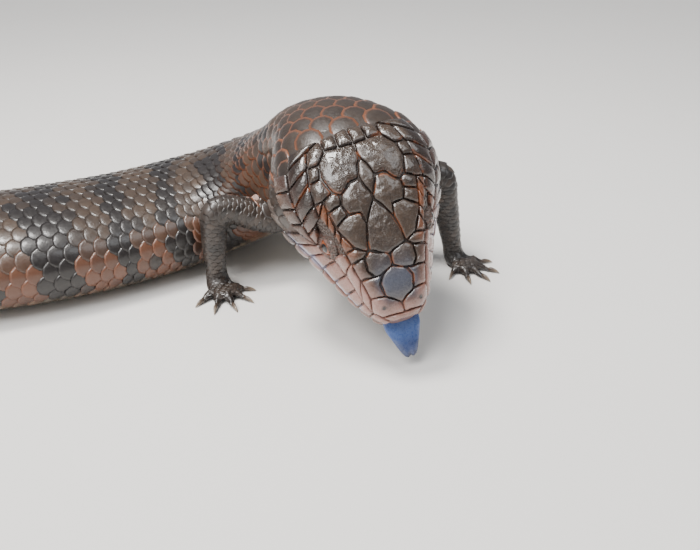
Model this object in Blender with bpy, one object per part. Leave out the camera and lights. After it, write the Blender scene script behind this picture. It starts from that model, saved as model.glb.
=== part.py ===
"""A blue-tongued skink, life size, as a still figure: head turned down, tongue out, forequarters raised.

The animal is one bent tube with a changing outline, from the snout tip to the tail tip, and four limbs.
It is parted into named pieces by thin cuts. Lengths in the tables are millimetres, turned to metres by MM.
Pose coordinates: +X to the viewer's right, +Y away from the viewer, +Z up, floor at zero.
"""

import bmesh
import bpy
import numpy as np
from mathutils import Matrix, Vector

MM = 0.001
GAP = 0.3  # between neighbouring pieces

# Head: where the snout tip is, and how the head is turned.
SNOUT_TIP = (17.2, 183.8, 16.2)
HEAD_YAW = -63.0
HEAD_PITCH = 46.9
HEAD_ROLL = 15.4
HEAD_STRAIGHT = 48.0  # the skull is stiff this far back
TABLE_STEP = 0.5  # between the places where the spine is worked out
SPINE_EASE = 5.0  # corners of the spine are rounded over about this length
EASE_REACH = 40  # steps of the table that count towards one rounded point, each way
ROLL_GONE = 100.0  # the roll has faded out here
HEAD_END = 56.0

# Middle of the body behind the skull: neck, shoulders, trunk, hips and tail.
SPINE = (
    (-0.4, 218.6, 56.2),
    (-3.5, 225.3, 59.3),
    (-6.5, 232.7, 60.1),
    (-9.2, 240.1, 58.6),
    (-11.7, 246.8, 55.0),
    (-16.0, 256.9, 46.3),
    (-24.0, 267.0, 39.2),
    (-38.0, 274.5, 31.0),
    (-60.0, 273.5, 22.4),
    (-90.0, 259.5, 17.6),
    (-120.0, 243.5, 17.2),
    (-155.0, 231.0, 17.2),
    (-190.0, 228.5, 15.8),
    (-222.0, 236.0, 12.4),
    (-251.0, 252.0, 10.2),
    (-277.0, 275.5, 8.5),
    (-296.0, 305.0, 6.6),
    (-304.0, 338.5, 4.8),
    (-301.0, 371.0, 3.4),
    (-290.0, 401.0, 2.2),
    (-277.0, 422.0, 1.6),
)

# Outline sizes: distance behind the snout tip, half width, height above and depth below the middle line.
OUTLINE = (
    (0.0, 3.4, 4.6, 0.6),
    (0.8, 5.0, 6.4, 2.4),
    (2.5, 7.3, 8.6, 4.2),
    (6.0, 10.3, 11.0, 6.0),
    (12.0, 13.8, 13.6, 7.9),
    (20.0, 17.6, 16.4, 9.8),
    (28.0, 21.4, 18.8, 11.4),
    (36.0, 25.6, 20.6, 12.8),
    (44.0, 28.9, 21.6, 14.0),
    (51.0, 30.0, 21.4, 14.6),
    (58.0, 28.4, 19.2, 14.8),
    (66.0, 24.6, 16.9, 14.6),
    (76.0, 21.0, 16.2, 15.4),
    (90.0, 22.2, 17.2, 19.0),
    (106.0, 25.4, 18.6, 23.0),
    (126.0, 28.0, 19.0, 22.8),
    (160.0, 32.0, 18.4, 20.4),
    (200.0, 35.5, 18.2, 19.4),
    (240.0, 35.5, 18.2, 19.0),
    (283.0, 31.0, 18.0, 18.0),
    (308.0, 24.5, 16.8, 16.2),
    (330.0, 19.0, 14.8, 13.4),
    (358.0, 15.6, 12.8, 11.4),
    (398.0, 12.6, 10.6, 9.6),
    (442.0, 9.4, 8.2, 7.6),
    (482.0, 6.4, 5.8, 5.4),
    (516.0, 3.8, 3.4, 3.4),
    (548.0, 1.6, 1.6, 1.6),
)

# Corner points of one side of the outline, from top middle to bottom middle, as shares of the three sizes.
# The tables hold snout, brow, cheek, trunk and tail, at the distances in SHAPE_AT, and are blended between them.
SHAPE_AT = (8.0, 27.0, 48.0, 110.0, 340.0)
SHAPES = (
    ((0.0, 1.0), (0.66, 0.90), (0.92, 0.50), (1.0, 0.00), (0.95, -0.50), (0.64, -0.90), (0.0, -1.0)),
    ((0.0, 1.0), (0.54, 0.91), (0.80, 0.54), (0.99, -0.03), (0.97, -0.50), (0.66, -0.90), (0.0, -1.0)),
    ((0.0, 1.0), (0.58, 0.88), (0.89, 0.48), (1.0, -0.04), (0.94, -0.55), (0.66, -0.90), (0.0, -1.0)),
    ((0.0, 1.0), (0.54, 0.87), (0.90, 0.48), (1.0, -0.08), (0.90, -0.60), (0.58, -0.92), (0.0, -1.0)),
    ((0.0, 1.0), (0.50, 0.87), (0.87, 0.50), (1.0, 0.00), (0.87, -0.50), (0.50, -0.87), (0.0, -1.0)),
)

# Swells and hollows of the head: place along it, place round it (0 top, 0.5 bottom), lengths, height.
HEAD_RELIEF = (
    (26.5, 0.120, 9.0, 0.035, 0.9),
    (27.5, 0.185, 4.6, 0.035, -1.3),
    (16.5, 0.165, 6.5, 0.035, -0.9),
    (46.0, 0.260, 9.0, 0.050, 0.6),
    (36.0, 0.000, 14.0, 0.040, -0.5),
)

HEAD_SIDES = 30
SNOUT_RINGS = (0.0, 0.8, 2.4, 5.0)  # closer together where the snout rounds off
MOUTH_BACK = 43.0
MOUTH_GAPE = 2.2  # how far the lower jaw hangs open at the snout tip
GAPE_END = 26.0
BLOCK_FRONT = 25.0  # the cutters under the mouth line start this far ahead of the snout
BLOCK_SIZE = 40.0
EYE_RADIUS = 4.3
EYE_MIDDLE = (29.4, 14.6, 9.8)  # behind the tip, to the side, above the mouth line

# Tongue: ahead of the snout tip, above the mouth line, half width, half thickness.
TONGUE = (
    (-9.0, -0.9, 5.2, 1.0),
    (-3.5, -1.0, 6.2, 1.1),
    (1.0, -1.5, 6.1, 1.15),
    (4.5, -2.3, 5.0, 1.1),
    (7.5, -3.1, 3.8, 1.0),
    (10.0, -3.9, 2.7, 0.85),
    (11.8, -4.5, 1.5, 0.6),
)

TONGUE_SIDES = 14
TONGUE_RINGS = 12

# Where the body is parted: name, start, end, steps along and sides round.
LIMBED_SIDES = 24
LIMBED_PIECES = ("neck", "trunk_front", "trunk_middle", "trunk_rear", "tail_base")
BODY_PIECES = (
    ("neck", HEAD_END, 97.0, 7, LIMBED_SIDES),
    ("trunk_front", 97.0, 164.0, 9, LIMBED_SIDES),
    ("trunk_middle", 164.0, 232.0, 8, LIMBED_SIDES),
    ("trunk_rear", 232.0, 312.0, 10, LIMBED_SIDES),
    ("tail_base", 312.0, 364.0, 6, LIMBED_SIDES),
    ("tail_middle", 364.0, 420.0, 6, 16),
    ("tail_rear", 420.0, 482.0, 6, 14),
    ("tail_tip", 482.0, 543.0, 7, 10),
)

# Limbs: root inside the body, then elbow or knee, then wrist or ankle, each with its thickness (radius).
# heading is the way the foot points on the floor, in degrees from +X towards +Y.
LIMBS = {
    "right_fore": {
        "names": ("arm_upper_right", "arm_lower_right", "hand_right"),
        "root": ((-17.0, 251.0, 31.0), 9.0),
        "swell": ((-31.0, 243.0, 26.5), 6.8),
        "bend": ((-50.5, 236.2, 33.0), 5.4),
        "calf": ((-53.0, 234.4, 22.0), 5.2),
        "end": ((-53.5, 233.5, 7.6), 4.1),
        "heading": -62.0,
        "side": -1,
    },
    "left_fore": {
        "names": ("arm_upper_left", "arm_lower_left", "hand_left"),
        "root": ((-3.0, 257.0, 33.0), 9.0),
        "swell": ((14.0, 257.5, 31.0), 7.0),
        "bend": ((35.5, 258.0, 39.0), 5.7),
        "calf": ((39.5, 256.5, 26.0), 5.6),
        "end": ((43.5, 254.5, 7.6), 4.1),
        "heading": -52.0,
        "side": 1,
    },
    "right_hind": {
        "names": ("leg_upper_right", "leg_lower_right", "foot_right"),
        "root": ((-193.0, 221.5, 15.0), 10.0),
        "swell": ((-188.0, 203.5, 16.0), 8.4),
        "bend": ((-176.0, 185.5, 19.0), 6.2),
        "calf": ((-184.0, 175.5, 15.0), 5.9),
        "end": ((-196.0, 167.5, 6.8), 4.3),
        "heading": -62.0,
        "side": -1,
    },
    "left_hind": {
        "names": ("leg_upper_left", "leg_lower_left", "foot_left"),
        "root": ((-197.0, 237.5, 15.0), 10.0),
        "swell": ((-197.0, 255.5, 16.0), 8.4),
        "bend": ((-190.0, 274.5, 19.0), 6.2),
        "calf": ((-201.0, 282.5, 15.0), 5.9),
        "end": ((-214.0, 287.5, 6.8), 4.3),
        "heading": 72.0,
        "side": 1,
    },
}
FORE_DIGITS = ((-62.0, 6.6), (-29.0, 9.6), (-1.0, 10.8), (27.0, 10.2), (60.0, 7.4))
HIND_DIGITS = ((-54.0, 6.8), (-24.0, 9.8), (2.0, 12.2), (26.0, 14.0), (62.0, 9.6))
PALM_LENGTH = {"fore": 9.0, "hind": 11.0}
PALM_HALF_WIDTH = {"fore": 5.6, "hind": 6.0}
PALM_HEIGHTS = (3.2, 2.0, 1.6)  # middle line of the palm at the heel, half way and at its end
PALM_END_SHARE = 0.72  # how wide its end is against its middle
PALM_THICKNESS = (3.5, 2.5, 1.9)  # half of it, at the same three places
DIGITS_START = 0.35  # share of the palm's length where the digits come together
DIGIT_JOINTS = (0.0, 0.42, 0.8, 1.0)  # shares of a digit's length where its height is given
DIGIT_RADIUS = (2.0, 1.45)
DIGIT_HEIGHTS = (1.9, 2.4, 1.2, 1.1)  # middle line of a digit at its root, knuckle, pad and tip
CLAW_LENGTH = 3.6
CLAW_RADIUS = 0.95
CLAW_TIP_RADIUS = 0.25
CLAW_TIP_HEIGHT = 0.35
LIMB_SIDES = 12
# Where a limb has its rings: root 0, swell 1, elbow or knee 2, calf 3, wrist or ankle 4.
LIMB_RINGS = (0.0, 0.7, 1.3, 2.0, 2.9, 3.5, 4.0)
BEND_RING = 3
DIGIT_SIDES = 7
CLAW_SIDES = 6

UP = np.array((0.0, 0.0, 1.0))


def through(knots, values, at):
    """A smooth curve through the values at the knots, read at the given places."""
    knots = np.asarray(knots, float)
    values = np.asarray(values, float)
    at = np.clip(np.asarray(at, float), knots[0], knots[-1])
    shape = (-1,) + (1,) * (values.ndim - 1)
    gaps = np.diff(knots).reshape(shape)
    steps = np.diff(values, axis=0) / gaps
    inner = (gaps[1:] * steps[:-1] + gaps[:-1] * steps[1:]) / (gaps[1:] + gaps[:-1])
    slopes = np.concatenate([steps[:1], inner, steps[-1:]])
    i = np.clip(np.searchsorted(knots, at, side="right") - 1, 0, len(knots) - 2)
    wide = at.shape + (1,) * (values.ndim - 1)
    t = ((at - knots[i]) / (knots[i + 1] - knots[i])).reshape(wide)
    gap = (knots[i + 1] - knots[i]).reshape(wide)
    start = (1 + 2 * t) * (1 - t) ** 2 * values[i] + t * (1 - t) ** 2 * gap * slopes[i]
    return start + t * t * (3 - 2 * t) * values[i + 1] + t * t * (t - 1) * gap * slopes[i + 1]


def unit(vectors):
    return vectors / np.linalg.norm(vectors, axis=-1, keepdims=True)


def head_forward():
    yaw, pitch = np.radians((HEAD_YAW, HEAD_PITCH))
    return np.array((np.cos(yaw) * np.cos(pitch), np.sin(yaw) * np.cos(pitch), -np.sin(pitch)))


def spine_table():
    """Distance, middle point, forward, left and up of the body, at every step from the snout tip."""
    tip = np.array(SNOUT_TIP)
    straight = [tip - head_forward() * s for s in np.linspace(0.0, HEAD_STRAIGHT, 6)]
    points = np.array(straight + [np.array(p) for p in SPINE])
    knots = np.concatenate([[0.0], np.cumsum(np.linalg.norm(np.diff(points, axis=0), axis=1))])
    fine = through(knots, points, np.linspace(0.0, knots[-1], 4000))
    run = np.concatenate([[0.0], np.cumsum(np.linalg.norm(np.diff(fine, axis=0), axis=1))])
    s = np.arange(0.0, run[-1], TABLE_STEP)
    middle = np.stack([np.interp(s, run, fine[:, k]) for k in range(3)], axis=1)
    away = np.arange(-EASE_REACH, EASE_REACH + 1) * TABLE_STEP
    spread = np.exp(-((away / SPINE_EASE) ** 2) / 2)
    before = 2 * middle[0] - middle[EASE_REACH:0:-1]
    after = 2 * middle[-1] - middle[-2 : -EASE_REACH - 2 : -1]
    padded = np.concatenate([before, middle, after])
    columns = [np.convolve(padded[:, k], spread / spread.sum(), "valid") for k in range(3)]
    eased = np.stack(columns, axis=1)
    share = np.clip((s - HEAD_STRAIGHT) / SPINE_EASE + 1, 0, 1)[:, None]
    middle = middle + (eased - middle) * share * share * (3 - 2 * share)
    forward = -unit(np.gradient(middle, axis=0))
    up = unit(UP - (forward @ UP)[:, None] * forward)
    left = np.cross(up, forward)
    fade = np.clip((ROLL_GONE - s) / (ROLL_GONE - HEAD_STRAIGHT), 0.0, 1.0)
    roll = np.radians(HEAD_ROLL) * fade * fade * (3 - 2 * fade)
    cos, sin = np.cos(roll)[:, None], np.sin(roll)[:, None]
    return s, middle, forward, left * cos + up * sin, up * cos - left * sin


TABLE = spine_table()
OUTLINE_AT = tuple(row[0] for row in OUTLINE)
OUTLINE_SIZES = tuple(row[1:] for row in OUTLINE)


def frame_at(s):
    """Middle, forward, left and up at each distance s behind the snout tip."""
    columns = [np.stack([np.interp(s, TABLE[0], v[:, k]) for k in range(3)], axis=-1) for v in TABLE[1:]]
    return [columns[0]] + [unit(v) for v in columns[1:]]


def round_weights(u):
    """How much each of the twelve corner points of an outline counts at u, the share of the way round."""
    near = np.abs((u[..., None] * 12 - np.arange(12) + 6) % 12 - 6)
    inside = (4 - 6 * near**2 + 3 * near**3) / 6
    beside = np.clip(2 - near, 0, None) ** 3 / 6
    weights = np.where(near < 1, inside, beside)
    spread = np.eye(12) * 4 / 6 + (np.roll(np.eye(12), 1, 0) + np.roll(np.eye(12), -1, 0)) / 6
    return weights @ np.linalg.inv(spread)


def body_surface(s, u, grow=0.0):
    """Points on the body: s is the distance behind the snout tip, u the share of the way round."""
    s, u = np.broadcast_arrays(np.asarray(s, float), np.asarray(u, float))
    sizes = through(OUTLINE_AT, OUTLINE_SIZES, s)
    half = through(SHAPE_AT, SHAPES, s)
    ring = np.concatenate([half, half[..., 5:0:-1, :] * (-1, 1)], axis=-2)
    share = np.einsum("...k,...kc->...c", round_weights(u), ring)
    side = share[..., 0] * (sizes[..., 0] + grow)
    rise = share[..., 1] * (np.where(share[..., 1] > 0, sizes[..., 1], sizes[..., 2]) + grow)
    swell = np.zeros_like(s)
    for along, around, length, spread, height in HEAD_RELIEF:
        turn = np.abs((u + 0.5) % 1 - 0.5) - around
        swell += height * np.exp(-(((s - along) / length) ** 2) - (turn / spread) ** 2)
    reach = 1 + swell / np.maximum(np.hypot(side, rise), 1.0)
    middle, _, left, up = frame_at(s)
    points = middle + left * (side * reach)[..., None]
    points += up * (rise * reach)[..., None]
    points[..., 2] = np.maximum(points[..., 2], 0.0)
    return points


def head_point(ahead, side, above):
    """A place given from the snout tip, in the head's own directions."""
    _, forward, left, up = frame_at(np.array(0.0))
    return np.array(SNOUT_TIP) + forward * ahead + left * side + up * above


def collection(name, hidden):
    made = bpy.data.collections.new(name)
    made.hide_render = hidden
    bpy.context.scene.collection.children.link(made)
    return made


def material(name, color, roughness, coat=0.0):
    made = bpy.data.materials.new(name)
    made.use_nodes = True
    shader = made.node_tree.nodes["Principled BSDF"]
    shader.inputs["Base Color"].default_value = (*color, 1.0)
    shader.inputs["Roughness"].default_value = roughness
    shader.inputs["Metallic"].default_value = 0.0
    shader.inputs["Coat Weight"].default_value = coat
    return made


def add(name, mesh, finish):
    """A named piece of the animal, or a cutter when it has no finish."""
    obj = bpy.data.objects.new(name, mesh)
    if finish is None:
        obj.hide_render = True
        obj.display_type = "WIRE"
        CUTTERS.objects.link(obj)
    else:
        mesh.materials.append(finish)
        mesh.shade_smooth()
        PIECES.objects.link(obj)
    obj.parent = HOLDER
    return obj


def mesh_of(name, work):
    bmesh.ops.recalc_face_normals(work, faces=work.faces)
    mesh = bpy.data.meshes.new(name)
    work.to_mesh(mesh)
    work.free()
    return mesh


def loft(name, rings, finish):
    """A closed body over rings of points, all with the same count, with a flat fan on each end."""
    work = bmesh.new()
    loops = [[work.verts.new(Vector(p) * MM) for p in ring] for ring in rings]
    for one, two in zip(loops, loops[1:]):
        for k in range(len(one)):
            after = (k + 1) % len(one)
            work.faces.new((one[k], one[after], two[after], two[k]))
    for loop, ring in ((loops[0], rings[0]), (loops[-1], rings[-1])):
        middle = work.verts.new(Vector(np.mean(ring, axis=0)) * MM)
        for k in range(len(loop)):
            work.faces.new((loop[k], loop[(k + 1) % len(loop)], middle))
    return add(name, mesh_of(name, work), finish)


def cut(target, cutter, operation="DIFFERENCE"):
    step = target.modifiers.new(cutter.name, "BOOLEAN")
    step.operation = operation
    step.solver = "EXACT"
    step.object = cutter


def body_length(name, distances, sides, finish, grow=0.0):
    """A length of the body with an outline at each of the given distances behind the snout tip."""
    u = np.arange(sides) / sides
    rings = [body_surface(np.full(sides, s), u, grow) for s in distances]
    return loft(name, rings, finish)


def head_block(name, back, top_front, top_back):
    """A cutter under the mouth line. Its top runs from one height ahead to another at the gape's end."""
    work = bmesh.new()
    tops = ((-BLOCK_FRONT, top_front), (GAPE_END, top_back), (back, top_back))
    wide, low = BLOCK_SIZE, -BLOCK_SIZE
    rings = []
    for distance, top in tops:
        corners = ((wide, top), (wide, low), (-wide, low), (-wide, top))
        rings.append([work.verts.new(Vector(head_point(-distance, y, z)) * MM) for y, z in corners])
    for one, two in zip(rings, rings[1:]):
        for k in range(4):
            work.faces.new((one[k], one[(k + 1) % 4], two[(k + 1) % 4], two[k]))
    work.faces.new(rings[0])
    work.faces.new(rings[-1])
    return add(name, mesh_of(name, work), None)


def tongue_rings(grow):
    turn = np.arange(TONGUE_SIDES) / TONGUE_SIDES * 2 * np.pi
    rings = []
    rows = through(range(len(TONGUE)), TONGUE, np.linspace(0, len(TONGUE) - 1, TONGUE_RINGS))
    for number, (ahead, above, half_width, half_thick) in enumerate(rows):
        along = ahead + grow * (-1 if number == 0 else number == TONGUE_RINGS - 1)
        sides = np.sin(turn) * (half_width + grow)
        rises = above + np.cos(turn) * (half_thick + grow)
        rings.append([head_point(along, y, z) for y, z in zip(sides, rises)])
    return rings


def eye(name, side, radius, finish):
    work = bmesh.new()
    bmesh.ops.create_uvsphere(work, u_segments=14, v_segments=9, radius=radius * MM)
    behind, out, above = EYE_MIDDLE
    place = Matrix.Translation(Vector(head_point(-behind, side * out, above)) * MM)
    bmesh.ops.transform(work, matrix=place, verts=work.verts)
    return add(name, mesh_of(name, work), finish)


def build_head():
    skin = material("head_shields", (0.16, 0.125, 0.10), 0.28, 0.4)
    lips = material("jaw_shields", (0.42, 0.30, 0.25), 0.4, 0.2)
    blue = material("tongue_blue", (0.05, 0.10, 0.32), 0.25, 0.5)
    iris = material("iris_orange", (0.45, 0.11, 0.03), 0.12, 1.0)
    stations = np.concatenate([SNOUT_RINGS, np.linspace(8.5, HEAD_END - GAP / 2, 15)])
    u = np.arange(HEAD_SIDES) / HEAD_SIDES
    rings = [body_surface(np.full(HEAD_SIDES, s), u) for s in stations]
    head = loft("head", rings, skin)
    jaw = loft("lower_jaw", rings, lips)
    tongue_room = loft("tongue_room", tongue_rings(GAP), None)
    cut(head, head_block("mouth_room", MOUTH_BACK + GAP, GAP / 2, GAP / 2))
    front_drop = MOUTH_GAPE * (GAPE_END + BLOCK_FRONT) / GAPE_END
    cut(jaw, head_block("jaw_room", MOUTH_BACK, -front_drop, -GAP / 2), "INTERSECT")
    for piece in (head, jaw):
        cut(piece, tongue_room)
    loft("tongue", tongue_rings(0.0), blue)
    for name, side in (("eye_left", 1), ("eye_right", -1)):
        eye(name, side, EYE_RADIUS, iris)
        cut(head, eye(name + "_socket", side, EYE_RADIUS + GAP, None))


def build_body():
    """The lengths of neck, trunk and tail, and one slightly larger body that the limbs are cut with."""
    scales = material("body_scales", (0.15, 0.085, 0.05), 0.35, 0.3)
    near_limbs = []
    for name, start, end, steps, sides in BODY_PIECES:
        distances = np.linspace(start + GAP / 2, end - GAP / 2, steps + 1)
        body_length(name, distances, sides, scales)
        if name in LIMBED_PIECES:
            near_limbs.extend(distances)
    return body_length("body_room", near_limbs, LIMBED_SIDES, None, grow=1.5 * GAP)


def tube(name, points, radii, sides, finish, ways=None):
    """A round bar along points, no lower than the floor. ways are the directions that its rings face."""
    points = np.array(points, float)
    ways = unit(np.gradient(points, axis=0)) if ways is None else ways
    turn = np.arange(sides) / sides * 2 * np.pi
    rings = []
    over = UP if abs(ways[0] @ UP) < 0.9 else np.array((0.0, 1.0, 0.0))
    for point, way, radius in zip(points, ways, radii):
        over = unit(over - (over @ way) * way)
        beside = np.cross(way, over)
        ring = point + radius * (np.outer(np.cos(turn), beside) + np.outer(np.sin(turn), over))
        ring[:, 2] = np.maximum(ring[:, 2], 0.0)
        rings.append(ring)
    return loft(name, rings, finish)


def limb_line(limb):
    """Points and radii of a limb's rings, from its root in the body to the wrist or ankle."""
    rows = np.array([(*limb[key][0], limb[key][1]) for key in ("root", "swell", "bend", "calf", "end")])
    return through(range(5), rows, LIMB_RINGS)


def build_limb(key, room):
    limb = LIMBS[key]
    kind = key.split("_")[1]
    upper, lower, foot = limb["names"]
    skin = material(key + "_scales", (0.13, 0.08, 0.055), 0.38, 0.3)
    horn = material(key + "_claws", (0.42, 0.34, 0.26), 0.3, 0.3)
    rows = limb_line(limb)
    ways = unit(np.gradient(rows[:, :3], axis=0))
    parts = ((upper, 0, BEND_RING, 0.0), (lower, BEND_RING, len(LIMB_RINGS) - 1, GAP / 2))
    for name, first, last, trim in parts:
        points = rows[first : last + 1, :3].copy()
        points[0] += ways[first] * trim
        points[-1] -= ways[last] * GAP / 2
        piece = slice(first, last + 1)
        made = tube(name, points, rows[piece, 3], LIMB_SIDES, skin, ways[piece])
        if name == upper:
            cut(made, room)
    build_foot(foot, kind, limb, ways[-1], skin, horn)


def build_foot(name, kind, limb, leg_way, skin, horn):
    """Palm or sole flat on the floor, five digits joined to it, and a claw on each."""
    (place, radius) = limb["end"]
    wrist = np.array(place)
    heading = np.radians(limb["heading"])
    ahead = np.array((np.cos(heading), np.sin(heading), 0.0))
    beside = np.cross(ahead, UP) * limb["side"]
    length = PALM_LENGTH[kind]
    wide = PALM_HALF_WIDTH[kind]
    outer = beside * -1
    start = wrist + leg_way * GAP / 2
    heel = wrist + leg_way * 1.5 + ahead * 1.2
    line = [start, heel, heel + ahead * length * 0.5, heel + ahead * length]
    for place, height in zip(line[1:], PALM_HEIGHTS):
        place[2] = height
    half_widths = (radius, (radius + wide) * 0.52, wide, wide * PALM_END_SHARE)
    palm = palm_loft(name, line, half_widths, unit(ahead * 0.8 + UP), leg_way, skin)
    root = heel + ahead * length * DIGITS_START
    digits = FORE_DIGITS if kind == "fore" else HIND_DIGITS
    for number, (angle, reach) in enumerate(digits, 1):
        turn = np.radians(angle)
        way = ahead * np.cos(turn) + outer * np.sin(turn)
        begin = root + way * wide * 0.45
        stations = [begin + way * (reach + 1.0) * share for share in DIGIT_JOINTS]
        for station, height in zip(stations, DIGIT_HEIGHTS):
            station[2] = height
        rows = through(range(4), stations, (0.0, 0.5, 1.0, 2.0, 3.0))
        tip = rows[-1]
        radii = np.linspace(DIGIT_RADIUS[0], DIGIT_RADIUS[1], len(rows))
        digit = tube(f"{name}_digit_{number}", rows, radii, DIGIT_SIDES, None)
        cut(palm, digit, "UNION")
        build_claw(f"claw_{name}_{number}", tip, unit(rows[-1] - rows[-2]), way, horn)


def palm_loft(name, line, half_widths, over, leg_way, finish):
    """The wrist's round outline turning into a flat palm. over is the palm's upper side at the wrist."""
    turn = np.arange(LIMB_SIDES) / LIMB_SIDES * 2 * np.pi
    flat_way = unit(line[2] - line[1])
    ways = (leg_way, unit(leg_way + flat_way), flat_way, unit(line[3] - line[2]))
    heights = (half_widths[0], *PALM_THICKNESS)
    rings = []
    for point, way, half_width, height in zip(line, ways, half_widths, heights):
        over = unit(over - (over @ way) * way)
        side = np.cross(way, over)
        ring = point + np.outer(np.cos(turn) * half_width, side) + np.outer(np.sin(turn) * height, over)
        ring[:, 2] = np.maximum(ring[:, 2], 0.0)
        rings.append(ring)
    return loft(name, rings, finish)


def build_claw(name, tip, way, flat_way, finish):
    """A small curved claw that starts just ahead of the digit's end and comes down to the floor."""
    start = tip + way * GAP
    ends = [start, start + flat_way * CLAW_LENGTH * 0.5, start + flat_way * CLAW_LENGTH]
    ends[1][2] = tip[2] - 0.05
    ends[2][2] = CLAW_TIP_HEIGHT
    radii = (CLAW_RADIUS, CLAW_RADIUS * 0.72, CLAW_TIP_RADIUS)
    tube(name, ends, radii, CLAW_SIDES, finish)


def centre_on_floor():
    """Puts the middle of the whole animal's box over the origin."""
    bpy.context.view_layer.update()
    graph = bpy.context.evaluated_depsgraph_get()
    low, high = np.full(3, np.inf), np.full(3, -np.inf)
    for obj in (o for o in PIECES.objects if o.type == "MESH"):
        shape = obj.evaluated_get(graph)
        mesh = shape.to_mesh()
        points = np.array([shape.matrix_world @ v.co for v in mesh.vertices])
        shape.to_mesh_clear()
        low, high = np.minimum(low, points.min(0)), np.maximum(high, points.max(0))
    middle = (low + high) / 2
    HOLDER.location = (-middle[0], -middle[1], -low[2])


for old in list(bpy.data.objects):
    bpy.data.objects.remove(old)
PIECES = collection("blue_tongued_skink", False)
CUTTERS = collection("cutters", True)
HOLDER = bpy.data.objects.new("skink_place", None)
PIECES.objects.link(HOLDER)

build_head()
body_room = build_body()
for limb_key in LIMBS:
    build_limb(limb_key, body_room)
centre_on_floor()
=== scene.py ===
"""Looks of the blue-tongued skink: a skin over the solids, head shields, and overlapping scales on the rest.

Lengths in the tables are millimetres in the pose's own coordinates: +X to the viewer's right, +Y away, +Z up.
Places on the head are given as how far behind the snout tip and how far round from the top, along the skin.
"""

import bmesh
import bpy
import numpy as np
from bpy.props import FloatProperty, FloatVectorProperty, IntProperty, PointerProperty
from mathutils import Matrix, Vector, noise
from mathutils.bvhtree import BVHTree
from mathutils.kdtree import KDTree


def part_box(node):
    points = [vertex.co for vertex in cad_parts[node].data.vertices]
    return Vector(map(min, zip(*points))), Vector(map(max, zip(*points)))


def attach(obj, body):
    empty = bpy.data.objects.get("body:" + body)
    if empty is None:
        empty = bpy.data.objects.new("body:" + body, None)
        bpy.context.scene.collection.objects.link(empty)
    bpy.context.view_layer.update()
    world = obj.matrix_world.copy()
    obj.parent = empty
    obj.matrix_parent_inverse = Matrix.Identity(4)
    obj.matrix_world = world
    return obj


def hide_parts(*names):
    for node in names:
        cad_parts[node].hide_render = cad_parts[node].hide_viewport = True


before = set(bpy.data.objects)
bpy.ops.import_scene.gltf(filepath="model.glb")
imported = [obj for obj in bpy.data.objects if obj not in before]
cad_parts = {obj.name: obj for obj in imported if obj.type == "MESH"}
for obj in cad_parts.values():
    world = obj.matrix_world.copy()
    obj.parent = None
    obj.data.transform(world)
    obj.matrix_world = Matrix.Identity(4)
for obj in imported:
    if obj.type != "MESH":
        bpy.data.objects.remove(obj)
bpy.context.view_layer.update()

bl_info = {
    "name": "Blue-tongued skink",
    "version": (1, 0, 0),
    "blender": (4, 5, 0),
    "location": "View3D > Sidebar > Skink",
    "description": "Builds the skin, shields, scales, eyes, tongue and claws of a blue-tongued skink",
    "category": "Add Mesh",
}

MM = 0.001
UP = np.array((0.0, 0.0, 1.0))

# The body's middle line, outline and head, as in the solids.
SNOUT_TIP = (17.2, 183.8, 16.2)
HEAD_YAW = -63.0
HEAD_PITCH = 46.9
HEAD_ROLL = 15.4
HEAD_STRAIGHT = 48.0  # the middle line is straight up to here
TABLE_STEP = 0.5
SPINE_EASE = 5.0  # its bends are eased over this length
EASE_REACH = 40  # in table steps
ROLL_GONE = 100.0  # the head's roll has faded out here
TAIL_END = 542.6
SPINE = (
    (-0.4, 218.6, 56.2), (-3.5, 225.3, 59.3), (-6.5, 232.7, 60.1), (-9.2, 240.1, 58.6),
    (-11.7, 246.8, 55.0), (-16.0, 256.9, 46.3), (-24.0, 267.0, 39.2), (-38.0, 274.5, 31.0),
    (-60.0, 273.5, 22.4), (-90.0, 259.5, 17.6), (-120.0, 243.5, 17.2), (-155.0, 231.0, 17.2),
    (-190.0, 228.5, 15.8), (-222.0, 236.0, 12.4), (-251.0, 252.0, 10.2), (-277.0, 275.5, 8.5),
    (-296.0, 305.0, 6.6), (-304.0, 338.5, 4.8), (-301.0, 371.0, 3.4), (-290.0, 401.0, 2.2),
    (-277.0, 422.0, 1.6),
)
# Distance behind the snout tip, half width, height above and depth below the middle line.
OUTLINE = (
    (0.0, 3.4, 4.6, 0.6), (0.8, 5.0, 6.4, 2.4), (2.5, 7.3, 8.6, 4.2), (6.0, 10.3, 11.0, 6.0),
    (12.0, 13.8, 13.6, 7.9), (20.0, 17.6, 16.4, 9.8), (28.0, 21.4, 18.8, 11.4), (36.0, 25.6, 20.6, 12.8),
    (44.0, 28.9, 21.6, 14.0), (51.0, 30.0, 21.4, 14.6), (58.0, 28.4, 19.2, 14.8), (66.0, 24.6, 16.9, 14.6),
    (76.0, 21.0, 16.2, 15.4), (90.0, 22.2, 17.2, 19.0), (106.0, 25.4, 18.6, 23.0), (126.0, 28.0, 19.0, 22.8),
    (160.0, 32.0, 18.4, 20.4), (200.0, 35.5, 18.2, 19.4), (240.0, 35.5, 18.2, 19.0),
    (283.0, 31.0, 18.0, 18.0),
    (308.0, 24.5, 16.8, 16.2), (330.0, 19.0, 14.8, 13.4), (358.0, 15.6, 12.8, 11.4), (398.0, 12.6, 10.6, 9.6),
    (442.0, 9.4, 8.2, 7.6), (482.0, 6.4, 5.8, 5.4), (516.0, 3.8, 3.4, 3.4), (548.0, 1.6, 1.6, 1.6),
)
OUTLINE_AT = tuple(row[0] for row in OUTLINE)
OUTLINE_SIZES = tuple(row[1:] for row in OUTLINE)
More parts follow.
